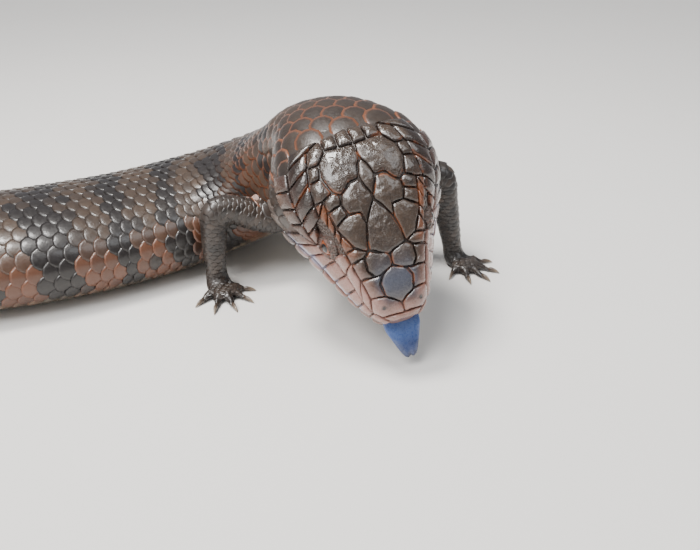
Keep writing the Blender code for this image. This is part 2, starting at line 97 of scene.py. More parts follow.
# Half outlines from top to bottom, as shares of those sizes, at five distances behind the snout tip.
SHAPE_AT = (8.0, 27.0, 48.0, 110.0, 340.0)
SHAPES = (
    ((0.0, 1.0), (0.66, 0.90), (0.92, 0.50), (1.0, 0.00), (0.95, -0.50), (0.64, -0.90), (0.0, -1.0)),
    ((0.0, 1.0), (0.54, 0.91), (0.80, 0.54), (0.99, -0.03), (0.97, -0.50), (0.66, -0.90), (0.0, -1.0)),
    ((0.0, 1.0), (0.58, 0.88), (0.89, 0.48), (1.0, -0.04), (0.94, -0.55), (0.66, -0.90), (0.0, -1.0)),
    ((0.0, 1.0), (0.54, 0.87), (0.90, 0.48), (1.0, -0.08), (0.90, -0.60), (0.58, -0.92), (0.0, -1.0)),
    ((0.0, 1.0), (0.50, 0.87), (0.87, 0.50), (1.0, 0.00), (0.87, -0.50), (0.50, -0.87), (0.0, -1.0)),
)
# Swellings and hollows: distance behind the tip, share of the way round, reach along and round, height.
HEAD_RELIEF = (
    (26.5, 0.120, 9.0, 0.035, 0.9),
    (27.5, 0.185, 4.6, 0.035, -1.3),
    (16.5, 0.165, 6.5, 0.035, -0.9),
    (46.0, 0.260, 9.0, 0.050, 0.6),
    (36.0, 0.000, 14.0, 0.040, -0.5),
)
MOUTH_BACK = 43.0
MOUTH_GAPE = 2.2
GAPE_END = 26.0
EYE_RADIUS = 4.3
EYE_MIDDLE = (29.4, 14.6, 9.8)
# Ahead of the snout tip, height over the mouth line, half width and half thickness.
TONGUE = (
    (-9.0, -0.9, 5.2, 1.0),
    (-3.5, -1.0, 6.2, 1.1),
    (1.0, -1.5, 6.1, 1.15),
    (4.5, -2.3, 5.0, 1.1),
    (7.5, -3.1, 3.8, 1.0),
    (10.0, -3.9, 2.7, 0.85),
    (11.8, -4.5, 1.5, 0.6),
)

# Limbs, as in the solids: root, swell, bend, calf and end, each a place and a radius.
LIMB_STATIONS = ("root", "swell", "bend", "calf", "end")
LIMBS = {
    "right_fore": {
        "root": ((-17.0, 251.0, 31.0), 9.0),
        "swell": ((-31.0, 243.0, 26.5), 6.8),
        "bend": ((-50.5, 236.2, 33.0), 5.4),
        "calf": ((-53.0, 234.4, 22.0), 5.2),
        "end": ((-53.5, 233.5, 7.6), 4.1),
        "heading": -62.0,
    },
    "left_fore": {
        "root": ((-3.0, 257.0, 33.0), 9.0),
        "swell": ((14.0, 257.5, 31.0), 7.0),
        "bend": ((35.5, 258.0, 39.0), 5.7),
        "calf": ((39.5, 256.5, 26.0), 5.6),
        "end": ((43.5, 254.5, 7.6), 4.1),
        "heading": -52.0,
    },
    "right_hind": {
        "root": ((-193.0, 221.5, 15.0), 10.0),
        "swell": ((-188.0, 203.5, 16.0), 8.4),
        "bend": ((-176.0, 185.5, 19.0), 6.2),
        "calf": ((-184.0, 175.5, 15.0), 5.9),
        "end": ((-196.0, 167.5, 6.8), 4.3),
        "heading": -62.0,
    },
    "left_hind": {
        "root": ((-197.0, 237.5, 15.0), 10.0),
        "swell": ((-197.0, 255.5, 16.0), 8.4),
        "bend": ((-190.0, 274.5, 19.0), 6.2),
        "calf": ((-201.0, 282.5, 15.0), 5.9),
        "end": ((-214.0, 287.5, 6.8), 4.3),
        "heading": 72.0,
    },
}
# Each digit's turn from the heading, in degrees, and its length.
FORE_DIGITS = ((-62.0, 6.6), (-29.0, 9.6), (-1.0, 10.8), (27.0, 10.2), (60.0, 7.4))
HIND_DIGITS = ((-54.0, 6.8), (-24.0, 9.8), (2.0, 12.2), (26.0, 14.0), (62.0, 9.6))
PALM_LENGTH = {"fore": 9.0, "hind": 11.0}
PALM_HALF_WIDTH = {"fore": 5.6, "hind": 6.0}
PALM_HEIGHTS = (3.2, 2.0, 1.6)  # of its middle line, from heel to digits
PALM_END_SHARE = 0.72
PALM_THICKNESS = (3.5, 2.5, 1.9)
DIGITS_START = 0.35
DIGITS_APART = 0.45
DIGIT_JOINTS = (0.0, 0.42, 0.8, 1.0)
DIGIT_RADIUS = (2.0, 1.45)
DIGIT_HEIGHTS = (1.9, 2.4, 1.2, 1.1)
CLAW_LENGTH = 3.6
CLAW_RADIUS = 0.95
CLAW_TIP_HEIGHT = 0.35
GAP = 0.3  # between one solid and the next
FLESH = (
    "head", "lower_jaw", "neck", "trunk_front", "trunk_middle", "trunk_rear",
    "tail_base", "tail_middle", "tail_rear", "tail_tip",
)

# The skin's own shape. Insets are in skin depths, and the second one of a pair is for its lowest points.
BODY_FLOOR = 0.55
LIMB_INSET = 0.6
PALM_INSET = (0.4, 0.35)
DIGIT_INSET = (0.3, 0.3)
LIMB_RINGS = (40, 24)  # rings, points in a ring
PALM_RINGS = (16, 24)
DIGIT_RINGS = (16, 16)
CLAW_RINGS = (16, 14)
HEAD_BEFORE = -3.0  # the head's finer skin starts here, before the snout tip
HEAD_ASIDE = 34.0
LID_OPENING = (41.0, 23.0)  # half of the eye's opening in degrees, along and up
LID_MIDDLE = 2.0
LID_THICK = 0.55
LID_FIRST = 1.08  # where the lid's scales begin, 1 being its edge
# Height of the skin over the eyeball, from the middle of the opening outwards, 1 being the lid's edge.
LID_AT = (0, 0.86, 0.97, 1.06, 1.2, 1.5)
LID_HEIGHTS = (-2.2, -2.0, -0.1, LID_THICK + 0.12, LID_THICK + 0.05, LID_THICK)
EAR_PLACE = (53.0, 0.268)  # behind the snout tip, share of the way round
EAR_SIZE = (1.5, 2.5)
EAR_DEPTH = 2.4
EAR_CLEAR = 3.4  # no scales this near to its middle
EAR_GIRTH = 160.0  # once round the body at the ears
NOSTRIL = (5.6, 6.1)  # behind the snout tip, round from the top
SUTURE = 0.13  # half of the groove between two shields
SHIELD_LIFT = 0.95  # how far a shield's top lies over the skin
LIMB_ROOT = (0.3, 0.6)  # between these distances off the body's own shape lie scales of both body and limb
LEAST_HEIGHT = 0.02  # no point of a scale lies lower
LIMB_SLOTS = 12  # strips of the bake's map for a limb, its palm and its digits
# Shares of the skin's depth and of the scales' sizes, at distances behind the snout tip.
DEPTH_SHARES = ((0, 8, 50, 70, 400, 540), (0.55, 0.75, 0.85, 1.0, 0.85, 0.5))
STEP_SHARES = ((8, 50, 58, 75, 110, 300, 400, 480, 540), (0.62, 0.72, 1.30, 1.15, 1.0, 1.0, 0.82, 0.6, 0.42))
ROW_SHARES = ((8, 50, 58, 80, 200, 320, 400, 480, 540), (0.52, 0.62, 1.04, 0.94, 1.0, 0.86, 0.72, 0.52, 0.36))
LIFT_SHARES = ((5, 50, 62, 300, 420, 540), (0.55, 0.75, 1.0, 1.0, 0.75, 0.4))


def through(knots, values, at):
    """A smooth curve through the values at the knots, read at the given places."""
    knots = np.asarray(knots, float)
    values = np.asarray(values, float)
    at = np.clip(np.asarray(at, float), knots[0], knots[-1])
    shape = (-1,) + (1,) * (values.ndim - 1)
    gaps = np.diff(knots).reshape(shape)
    steps = np.diff(values, axis=0) / gaps
    inner = (gaps[1:] * steps[:-1] + gaps[:-1] * steps[1:]) / (gaps[1:] + gaps[:-1])
    slopes = np.concatenate([steps[:1], inner, steps[-1:]])
    i = np.clip(np.searchsorted(knots, at, side="right") - 1, 0, len(knots) - 2)
    wide = at.shape + (1,) * (values.ndim - 1)
    t = ((at - knots[i]) / (knots[i + 1] - knots[i])).reshape(wide)
    gap = (knots[i + 1] - knots[i]).reshape(wide)
    start = (1 + 2 * t) * (1 - t) ** 2 * values[i] + t * (1 - t) ** 2 * gap * slopes[i]
    return start + t * t * (3 - 2 * t) * values[i + 1] + t * t * (t - 1) * gap * slopes[i + 1]


def unit(vectors):
    return vectors / np.maximum(np.linalg.norm(vectors, axis=-1, keepdims=True), 1e-12)


def ease(low, high, x):
    """0 below low, 1 above high, smooth between."""
    t = np.clip((np.asarray(x, float) - low) / (high - low), 0.0, 1.0)
    return t * t * (3 - 2 * t)


def run_along(points):
    """Distance of each point from the first one, measured along the line."""
    return np.concatenate([[0.0], np.cumsum(np.linalg.norm(np.diff(points, axis=0), axis=1))])


def from_top(u):
    """Share of the way round as a number from -0.5 to 0.5, with 0 at the top."""
    return (u + 0.5) % 1 - 0.5


def head_forward():
    yaw, pitch = np.radians((HEAD_YAW, HEAD_PITCH))
    return np.array((np.cos(yaw) * np.cos(pitch), np.sin(yaw) * np.cos(pitch), -np.sin(pitch)))


def spine_table():
    """Distance, middle point, forward, left and up of the body, at every step from the snout tip."""
    tip = np.array(SNOUT_TIP)
    straight = [tip - head_forward() * s for s in np.linspace(0.0, HEAD_STRAIGHT, 6)]
    points = np.array(straight + [np.array(p) for p in SPINE])
    knots = run_along(points)
    fine = through(knots, points, np.linspace(0.0, knots[-1], 4000))
    run = run_along(fine)
    s = np.arange(0.0, run[-1], TABLE_STEP)
    middle = np.stack([np.interp(s, run, fine[:, k]) for k in range(3)], axis=1)
    away = np.arange(-EASE_REACH, EASE_REACH + 1) * TABLE_STEP
    spread = np.exp(-((away / SPINE_EASE) ** 2) / 2)
    before = 2 * middle[0] - middle[EASE_REACH:0:-1]
    after = 2 * middle[-1] - middle[-2 : -EASE_REACH - 2 : -1]
    padded = np.concatenate([before, middle, after])
    columns = [np.convolve(padded[:, k], spread / spread.sum(), "valid") for k in range(3)]
    eased = np.stack(columns, axis=1)
    share = np.clip((s - HEAD_STRAIGHT) / SPINE_EASE + 1, 0, 1)[:, None]
    middle = middle + (eased - middle) * share * share * (3 - 2 * share)
    forward = -unit(np.gradient(middle, axis=0))
    up = unit(UP - (forward @ UP)[:, None] * forward)
    left = np.cross(up, forward)
    fade = np.clip((ROLL_GONE - s) / (ROLL_GONE - HEAD_STRAIGHT), 0.0, 1.0)
    roll = np.radians(HEAD_ROLL) * fade * fade * (3 - 2 * fade)
    cos, sin = np.cos(roll)[:, None], np.sin(roll)[:, None]
    return s, middle, forward, left * cos + up * sin, up * cos - left * sin


TABLE = spine_table()


def frame_at(s):
    """Middle, forward, left and up at each distance s behind the snout tip."""
    columns = [np.stack([np.interp(s, TABLE[0], v[:, k]) for k in range(3)], axis=-1) for v in TABLE[1:]]
    return [columns[0]] + [unit(v) for v in columns[1:]]


def round_weights(u):
    """How much each of the twelve corner points of an outline counts at u, the share of the way round."""
    near = np.abs((u[..., None] * 12 - np.arange(12) + 6) % 12 - 6)
    inside = (4 - 6 * near**2 + 3 * near**3) / 6
    beside = np.clip(2 - near, 0, None) ** 3 / 6
    weights = np.where(near < 1, inside, beside)
    spread = np.eye(12) * 4 / 6 + (np.roll(np.eye(12), 1, 0) + np.roll(np.eye(12), -1, 0)) / 6
    return weights @ np.linalg.inv(spread)


def body_surface(s, u, grow=0.0, floor=0.0):
    """Points on the body: s is the distance behind the snout tip, u the share of the way round."""
    s, u = np.broadcast_arrays(np.asarray(s, float), np.asarray(u, float))
    sizes = through(OUTLINE_AT, OUTLINE_SIZES, s)
    half = through(SHAPE_AT, SHAPES, s)
    ring = np.concatenate([half, half[..., 5:0:-1, :] * (-1, 1)], axis=-2)
    share = np.einsum("...k,...kc->...c", round_weights(u), ring)
    side = share[..., 0] * (sizes[..., 0] + grow)
    rise = share[..., 1] * (np.where(share[..., 1] > 0, sizes[..., 1], sizes[..., 2]) + grow)
    swell = np.zeros_like(s)
    for along, around, length, spread, height in HEAD_RELIEF:
        turn = np.abs(from_top(u)) - around
        swell += height * np.exp(-(((s - along) / length) ** 2) - (turn / spread) ** 2)
    reach = 1 + swell / np.maximum(np.hypot(side, rise), 1.0)
    middle, _, left, up = frame_at(s)
    points = middle + left * (side * reach)[..., None]
    points += up * (rise * reach)[..., None]
    points[..., 2] = np.maximum(points[..., 2], floor)
    return points


HEAD_AXES = frame_at(np.array(0.0))[1:]


def head_point(ahead, side, above):
    """A place given from the snout tip, in the head's own directions."""
    forward, left, up = HEAD_AXES
    return np.array(SNOUT_TIP) + forward * ahead + left * side + up * above


def head_place(points):
    """The head's own coordinates of pose points: behind the tip, to the left, above the mouth line."""
    away = points - np.array(SNOUT_TIP)
    return np.stack([-(away @ HEAD_AXES[0]), away @ HEAD_AXES[1], away @ HEAD_AXES[2]], axis=-1)


def eye_middle(side):
    behind, out, above = EYE_MIDDLE
    return head_point(-behind, side * out, above)


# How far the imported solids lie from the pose's own coordinates.
EYE_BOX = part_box("eye_right")
SHIFT = np.array((EYE_BOX[0] + EYE_BOX[1]) / 2) / MM - eye_middle(-1)


def metres(points):
    return (np.asarray(points, float) + SHIFT) * MM


def new_mesh(name, verts, faces):
    """A smooth mesh in metres from pose points and faces of any corner count."""
    mesh = bpy.data.meshes.new(name)
    mesh.from_pydata(metres(verts).tolist(), [], [list(map(int, f)) for f in faces])
    mesh.shade_smooth()
    mesh.validate()
    return mesh


def new_object(name, mesh):
    made = bpy.data.objects.new(name, mesh)
    bpy.context.scene.collection.objects.link(made)
    return made


def put(mesh, name, values):
    """Stores one number or one vector for each vertex."""
    values = np.asarray(values, np.float32)
    kind, field = ("FLOAT", "value") if values.ndim == 1 else ("FLOAT_VECTOR", "vector")
    layer = mesh.attributes.get(name) or mesh.attributes.new(name, kind, "POINT")
    layer.data.foreach_set(field, values.ravel())


def put_all(mesh, masks):
    for name, values in masks.items():
        put(mesh, name, values)


def triples(items, field):
    """One vector of every vertex, face or normal."""
    found = np.empty(len(items) * 3, np.float32)
    items.foreach_get(field, found)
    return found.reshape(-1, 3)


def read(mesh, name=None):
    """Vertex places in pose millimetres, or one of the mesh's stored numbers."""
    if name is None:
        return triples(mesh.vertices, "co") / MM - SHIFT
    found = np.empty(len(mesh.vertices), np.float32)
    mesh.attributes[name].data.foreach_get("value", found)
    return found


def baked_copy(obj, name):
    """The object as its modifiers leave it, as a plain mesh. The object itself is removed."""
    bpy.context.view_layer.update()
    graph = bpy.context.evaluated_depsgraph_get()
    mesh = bpy.data.meshes.new_from_object(obj.evaluated_get(graph))
    mesh.name = name
    bpy.data.objects.remove(obj)
    return mesh


def wavy(points, length, seed, waves=7):
    """A smooth irregular value from about -1 to 1 at each point, with waves about this long."""
    rng = np.random.default_rng(seed)
    ways = unit(rng.normal(size=(waves, 3)))
    sizes = rng.uniform(0.7, 1.6, waves) / length
    starts = rng.uniform(0, 2 * np.pi, waves)
    waves_sum = np.sin((np.asarray(points) @ ways.T) * sizes * 2 * np.pi + starts)
    return waves_sum.sum(axis=-1) / np.sqrt(waves)


def rough_noise(points, length, seed):
    """Bumps of about this length in millimetres, from -1 to 1."""
    offset = Vector((seed * 7.1, seed * 3.7, seed * 5.3))
    return np.array([noise.noise(Vector(p) / length + offset) for p in points.tolist()])


def skin_depth(s, depth):
    """How far the skin lies inside the solids at each distance from the snout tip."""
    return depth * np.interp(s, *DEPTH_SHARES)


def cross_rings(points, ways, half_widths, heights, over, sides, floor):
    """Oval rings round a line. over is the way to the upper side at the first ring."""
    turn = np.arange(sides) / sides * 2 * np.pi
    rings = []
    for point, way, wide, high in zip(points, ways, half_widths, heights):
        over = unit(over - (over @ way) * way)
        beside = np.cross(way, over)
        ring = point + np.outer(np.cos(turn) * wide, beside) + np.outer(np.sin(turn) * high, over)
        ring[:, 2] = np.maximum(ring[:, 2], floor)
        rings.append(ring)
    return np.array(rings)


def tube_rings(points, radii, sides, floor=0.0):
    ways = unit(np.gradient(points, axis=0))
    over = UP if abs(ways[0] @ UP) < 0.9 else np.array((0.0, 1.0, 0.0))
    return cross_rings(points, ways, radii, radii, over, sides, floor)


def ring_quads(grid):
    """Faces between rows of point numbers, each row being a closed ring."""
    after = np.roll(grid, -1, axis=1)
    return np.stack([grid[:-1], after[:-1], after[1:], grid[1:]], axis=-1).reshape(-1, 4).tolist()


def fan(ring, tip, flip=False):
    """Triangles from a ring of point numbers to one point."""
    after = np.roll(ring, -1)
    first, second = (after, ring) if flip else (ring, after)
    return np.stack([first, second, np.full(len(ring), tip)], axis=-1).tolist()


def loft_arrays(lofts):
    """Vertices and faces of several closed bodies, each given as rings of points, with a fan on each end."""
    verts, faces, start = [], [], 0
    for rings in lofts:
        count, sides = rings.shape[:2]
        grid = start + np.arange(count * sides).reshape(count, sides)
        ends = start + count * sides
        faces += ring_quads(grid) + fan(grid[0], ends, flip=True) + fan(grid[-1], ends + 1)
        verts += [rings.reshape(-1, 3), rings[0].mean(axis=0)[None], rings[-1].mean(axis=0)[None]]
        start = ends + 2
    return np.concatenate(verts), faces


def changed(mesh, change):
    """The mesh after a change to its faces and edges."""
    work = bmesh.new()
    work.from_mesh(mesh)
    change(work)
    work.to_mesh(mesh)
    work.free()
    return mesh


def outward(mesh):
    """Turns every face of a closed mesh outwards."""
    return changed(mesh, lambda work: bmesh.ops.recalc_face_normals(work, faces=work.faces))


def limb_rings(limb, depth):
    """Rings along a limb, from its root in the body to the wrist or ankle."""
    steps, sides = LIMB_RINGS
    rows = np.array([(*limb[key][0], limb[key][1]) for key in LIMB_STATIONS])
    rows = through(range(5), rows, np.linspace(0, 4, steps))
    return tube_rings(rows[:, :3], rows[:, 3] - LIMB_INSET * depth, sides)


def limb_nodes(key):
    """The limb's solids: its upper and lower part, and its hand or foot."""
    side, kind = key.split("_")
    limb, end = ("arm", "hand") if kind == "fore" else ("leg", "foot")
    return f"{limb}_upper_{side}", f"{limb}_lower_{side}", f"{end}_{side}"


def foot_plan(key):
    """The palm's line, its half widths and heights, and each digit's line and way."""
    limb = LIMBS[key]
    side, kind = key.split("_")
    wrist = np.array(limb["end"][0])
    radius = limb["end"][1]
    stations = np.array([limb[k][0] for k in LIMB_STATIONS])
    rows = through(range(5), stations, (0, 0.7, 1.3, 2, 2.9, 3.5, 4))
    leg_way = unit(np.gradient(rows, axis=0))[-1]
    heading = np.radians(limb["heading"])
    ahead = np.array((np.cos(heading), np.sin(heading), 0.0))
    beside = np.cross(ahead, UP) * (1 if side == "left" else -1)
    length, wide = PALM_LENGTH[kind], PALM_HALF_WIDTH[kind]
    heel = wrist + leg_way * 1.5 + ahead * 1.2
    line = [wrist + leg_way * GAP / 2, heel, heel + ahead * length * 0.5, heel + ahead * length]
    for place, height in zip(line[1:], PALM_HEIGHTS):
        place[2] = height
    palm = {
        "line": np.array(line),
        "wide": (radius, (radius + wide) * 0.52, wide, wide * PALM_END_SHARE),
        "high": (radius, *PALM_THICKNESS),
        "over": unit(ahead * 0.8 + UP),
    }
    root = heel + ahead * length * DIGITS_START
    digits = []
    for angle, reach in FORE_DIGITS if kind == "fore" else HIND_DIGITS:
        turn = np.radians(angle)
        way = ahead * np.cos(turn) - beside * np.sin(turn)
        begin = root + way * wide * DIGITS_APART
        stations = np.array([begin + way * (reach + 1.0) * share for share in DIGIT_JOINTS])
        stations[:, 2] = DIGIT_HEIGHTS
        digits.append({"stations": stations, "way": way})
    return palm, digits


def palm_rings(palm, depth):
    """Rings along a hand or foot, from the wrist or ankle to the digits."""
    steps, sides = PALM_RINGS
    inset, floor = (share * depth for share in PALM_INSET)
    at = np.linspace(0, 3, steps)
    line = through(range(4), palm["line"], at)
    sizes = through(range(4), np.stack([palm["wide"], palm["high"]], axis=1), at) - inset
    ways = unit(np.gradient(line, axis=0))
    return cross_rings(line, ways, sizes[:, 0], sizes[:, 1], palm["over"], sides, floor)


def digit_rings(digit, depth):
    """Rings along a toe with a knuckle and a rounded end that holds the claw."""
    steps, sides = DIGIT_RINGS
    inset, floor = (share * depth for share in DIGIT_INSET)
    at = np.linspace(0, 3, steps)
    line = through(range(4), digit["stations"], at)
    radii = np.linspace(*DIGIT_RADIUS, steps) - inset
    radii *= 1 + 0.10 * np.exp(-(((at - 1.0) / 0.35) ** 2)) - 0.10 * np.exp(-(((at - 1.7) / 0.35) ** 2))
    radii *= np.sqrt(np.clip(1 - (np.clip(at - 2.75, 0, None) / 0.29) ** 2, 0.15, 1))
    return tube_rings(line, radii, sides, floor)


def rough_body(depth):
    """The closed bodies that the skin is made from: the long body, four limbs, hands, feet and digits."""
    rear = np.linspace(62.0, TAIL_END - 0.6, 240)
    s = np.concatenate([np.linspace(0.0, 6.0, 13), np.linspace(7.2, 60.0, 45), rear])
    ss, uu = np.meshgrid(s, np.arange(120) / 120, indexing="ij")
    lofts = [body_surface(ss, uu, -skin_depth(ss, depth), BODY_FLOOR * depth)]
    for key, limb in LIMBS.items():
        palm, digits = foot_plan(key)
        lofts += [limb_rings(limb, depth), palm_rings(palm, depth)]
        lofts += [digit_rings(digit, depth) for digit in digits]
    return lofts


def remeshed(name, lofts, voxel):
    """One closed skin round all the bodies, with its steps smoothed away."""
    body = new_object(name, new_mesh(name, *loft_arrays(lofts)))
    joined = body.modifiers.new("one_skin", "REMESH")
    joined.mode = "VOXEL"
    joined.voxel_size = voxel
    joined.use_smooth_shade = True
    eased = body.modifiers.new("soften", "SMOOTH")
    eased.factor = 0.5
    eased.iterations = 4
    return baked_copy(body, name)


def locate(points, depth):
    """Nearest place on the long body's skin: how far behind the tip and round, how far off, and where."""
    floor = BODY_FLOOR * depth
    ss, uu = np.meshgrid(np.arange(0.0, TAIL_END, 1.5), np.arange(72) / 72, indexing="ij")
    grid = body_surface(ss, uu, -skin_depth(ss, depth), floor).reshape(-1, 3)
    tree = KDTree(len(grid))
    for number, place in enumerate(grid.tolist()):
        tree.insert(place, number)
    tree.balance()
    nearest = np.array([tree.find(p)[1] for p in points.tolist()])
    s, u = ss.ravel()[nearest], uu.ravel()[nearest]
    for _ in range(4):
        grow = -skin_depth(s, depth)
        here = body_surface(s, u, grow, floor)
        along = (body_surface(s + 0.3, u, grow, floor) - here) / 0.3
        around = (body_surface(s, u + 0.002, grow, floor) - here) / 0.002
        off = points - here
        a, b, c = (along**2).sum(1), (along * around).sum(1), (around**2).sum(1)
        d, e = (along * off).sum(1), (around * off).sum(1)
        area = np.maximum(a * c - b * b, 1e-6)
        s = np.clip(s + np.clip((c * d - b * e) / area, -2, 2), 0.0, TAIL_END)
        u = u + np.clip((a * e - b * d) / area, -0.03, 0.03)
    here = body_surface(s, u, -skin_depth(s, depth), floor)
    return s, from_top(u), np.linalg.norm(points - here, axis=1), here


def split_faces(mesh, chosen):
    """Splits the chosen faces once, each edge in two."""

    def split(work):
        edges = {e for face, wanted in zip(work.faces, chosen) if wanted for e in face.edges}
        bmesh.ops.subdivide_edges(work, edges=list(edges), cuts=1, use_grid_fill=True)

    changed(mesh, split)


def face_middles(mesh):
    return triples(mesh.polygons, "center") / MM - SHIFT


def move_to(mesh, points):
    mesh.vertices.foreach_set("co", metres(points).astype(np.float32).ravel())
    mesh.update()


def settle(mesh, depth):
    """Puts the skin exactly on the body's outline, except where a limb grows out of it."""
    points = read(mesh)
    s, u, off, here = locate(points, depth)
    hold = (1 - ease(0.25, 0.8, off)) * ease(0.3, 1.6, s)
    move_to(mesh, points + (here - points) * hold[:, None])
    return s, u, off


def eye_frame(side):
    """Middle of the eye, where it looks, and the ways to its front and upper corners."""
    middle = eye_middle(side)
    look = unit(HEAD_AXES[1] * side + HEAD_AXES[2] * 0.42 + HEAD_AXES[0] * 0.20)
    front = unit(HEAD_AXES[0] - (HEAD_AXES[0] @ look) * look)
    top = np.cross(look, front) * side
    return middle, look, front, top * np.sign(top @ HEAD_AXES[2])


def lid_place(points, side):
    """How far out from the eye's opening each point lies: 1 on the lid's edge, less inside it."""
    middle, look, front, top = eye_frame(side)
    away = points - middle
    distance = np.linalg.norm(away, axis=-1)
    ahead = away @ look
    across = np.degrees(np.arctan2(away @ front, ahead))
    upward = np.degrees(np.arctan2(away @ top, ahead))
    wide, high = LID_OPENING
    q = np.hypot(across / wide, (upward - LID_MIDDLE) / high)
    return np.where(ahead > 0, q, 9.0), distance, across, upward


def shape_eyes(points):
    """Draws the skin over the eyeballs as lids, and sinks it behind them inside the opening. It also gives
    the mask of painted shade inside the opening.
    """
    hollow = np.zeros(len(points))
    for side in (1, -1):
        middle = eye_middle(side)
        q, distance, _, _ = lid_place(points, side)
        near = (distance < 12) & (q < 2.6)
        if not near.any():
            continue
        rim = EYE_RADIUS + LID_THICK
        wanted = EYE_RADIUS + np.interp(q, LID_AT, LID_HEIGHTS)
        reach = wanted + (np.maximum(distance, rim) - wanted) * ease(1.25, 2.4, q)
        moved = middle + unit(points - middle) * reach[:, None]
        points = np.where(near[:, None], moved, points)
        # mask of painted shade inside the opening
        hollow = np.maximum(hollow, np.where(near, 1 - ease(0.84, 1.0, q), 0))
    return points, hollow


def shape_mouth(points, s):
    """Opens the mouth at the front and draws a groove along its closed part."""
    place = head_place(points)
    t, y, z = place[:, 0], place[:, 1], place[:, 2]
    open_share = np.clip(1 - t / GAPE_END, 0, 1.05)
    middle = -MOUTH_GAPE / 2 * open_share
    half = np.where(t < GAPE_END, MOUTH_GAPE / 2 * open_share + 0.12, 0.3)
    mask = ease(0, 1, (half + 0.22 - np.abs(z - middle)) / 0.44) * (s < 60)
    half_width = np.interp(s, OUTLINE_AT, [row[1] for row in OUTLINE])
    deep = np.minimum(6.5, 0.5 * half_width)
    deep = deep * (1 - ease(18, 26, t)) + 0.8 * ease(18, 26, t) * (1 - ease(39, MOUTH_BACK + 0.5, t))
    way_t, way_y = 0.8 * half_width, -y
    size = np.maximum(np.hypot(way_t, way_y), 1e-6)
    inward = (way_t / size)[:, None] * -HEAD_AXES[0] + (way_y / size)[:, None] * HEAD_AXES[1]
    lip = 0.22 * np.exp(-(((np.abs(z - middle) - half - 0.9) / 0.8) ** 2))
    lip = lip * (s < MOUTH_BACK) * ease(1.0, 5.0, s)
    return points + inward * (deep * mask - lip)[:, None], mask * ease(0.3, 2.0, deep)


def shape_ear(points, normals, s, u):
    """Sinks the ear openings into the skin and raises a rim round them. The pit also marks painted shade in
    the ear.
    """
    off = np.hypot((s - EAR_PLACE[0]) / EAR_SIZE[0], (np.abs(u) - EAR_PLACE[1]) * EAR_GIRTH / EAR_SIZE[1])
    pit = 1 - ease(0.55, 1.05, off)
    rim = 0.35 * np.exp(-(((off - 1.35) / 0.35) ** 2))
    return points + normals * (rim - EAR_DEPTH * pit)[:, None], pit


def build_skin_mesh(depth, voxel):
    """The whole skin, finest on the head, with mouth, eyelids and ears, and the values that markings need."""
    mesh = remeshed("skin", rough_body(depth), voxel)
    settle(mesh, depth)
    t, y, z = head_place(face_middles(mesh)).T
    narrow = (t > HEAD_BEFORE) & (np.abs(y) < HEAD_ASIDE)
    split_faces(mesh, narrow & (t < 58) & (np.abs(z) < 30))
    middles = face_middles(mesh)
    t, y, z = head_place(middles).T
    at_lips = (t < 45) & (t > HEAD_BEFORE) & (np.abs(z + MOUTH_GAPE / 2) < 2.6) & (np.abs(y) < HEAD_ASIDE)
    from_eyes = [np.linalg.norm(middles - eye_middle(side), axis=1) for side in (1, -1)]
    split_faces(mesh, at_lips | (np.minimum(*from_eyes) < 10.5))
    s, u, off = settle(mesh, depth)
    points = read(mesh)
    points, lid = shape_eyes(points)
    points, lining = shape_mouth(points, s)
    points, ear = shape_ear(points, triples(mesh.vertex_normals, "vector"), s, u)
    move_to(mesh, points)
    mesh.shade_smooth()
    normals = triples(mesh.vertex_normals, "vector")
    # mask of painted shade: inside the lids and in the ear pits
    put_all(mesh, {"hollow": np.maximum(lid, ear), "lining": lining, "outward": normals})
    put_all(mesh, {"along": s, "around": u, "off_body": off})
    return mesh


# Places along the head's skin, given as distance behind the snout tip and distance round from the top middle.
MAP_STEP = 0.5
MAP_T = np.arange(0.25, 84.0, MAP_STEP)
MAP_U = np.linspace(0.0, 0.5, 161)
MAP_TT, MAP_UU = np.meshgrid(MAP_T, MAP_U, indexing="ij")
MAP_STEPS = np.linalg.norm(np.diff(body_surface(MAP_TT, MAP_UU), axis=1), axis=2)
MAP_ARC = np.concatenate([np.zeros((len(MAP_T), 1)), np.cumsum(MAP_STEPS, axis=1)], axis=1)
MAP_MOUTH = MAP_ARC[:, len(MAP_U) // 2]


def share_round(t, w):
    """Share of the way round at distance t behind the snout tip and w millimetres round from the top."""
    t, w = np.broadcast_arrays(np.asarray(t, float), np.asarray(w, float))
    row = np.clip((t - MAP_T[0]) / MAP_STEP, 0, len(MAP_T) - 1.001)
    low = row.astype(int)
    part = row - low
    found = np.empty(t.shape)
    for place in np.ndindex(t.shape):
        arc = MAP_ARC[low[place]] * (1 - part[place]) + MAP_ARC[low[place] + 1] * part[place]
        found[place] = np.interp(abs(w[place]), arc, MAP_U)
    return found * np.where(w < 0, -1, 1)


def arc_round(t, u):
    """Millimetres round from the top at distance t behind the snout tip and share u of the way round."""
    row = np.clip(int((t - MAP_T[0]) / MAP_STEP), 0, len(MAP_T) - 1)
    return float(np.interp(abs(u), MAP_U, MAP_ARC[row]))


def mouth_arc(t):
    """Millimetres round from the top to the mouth line."""
    return arc_round(t, 0.25)


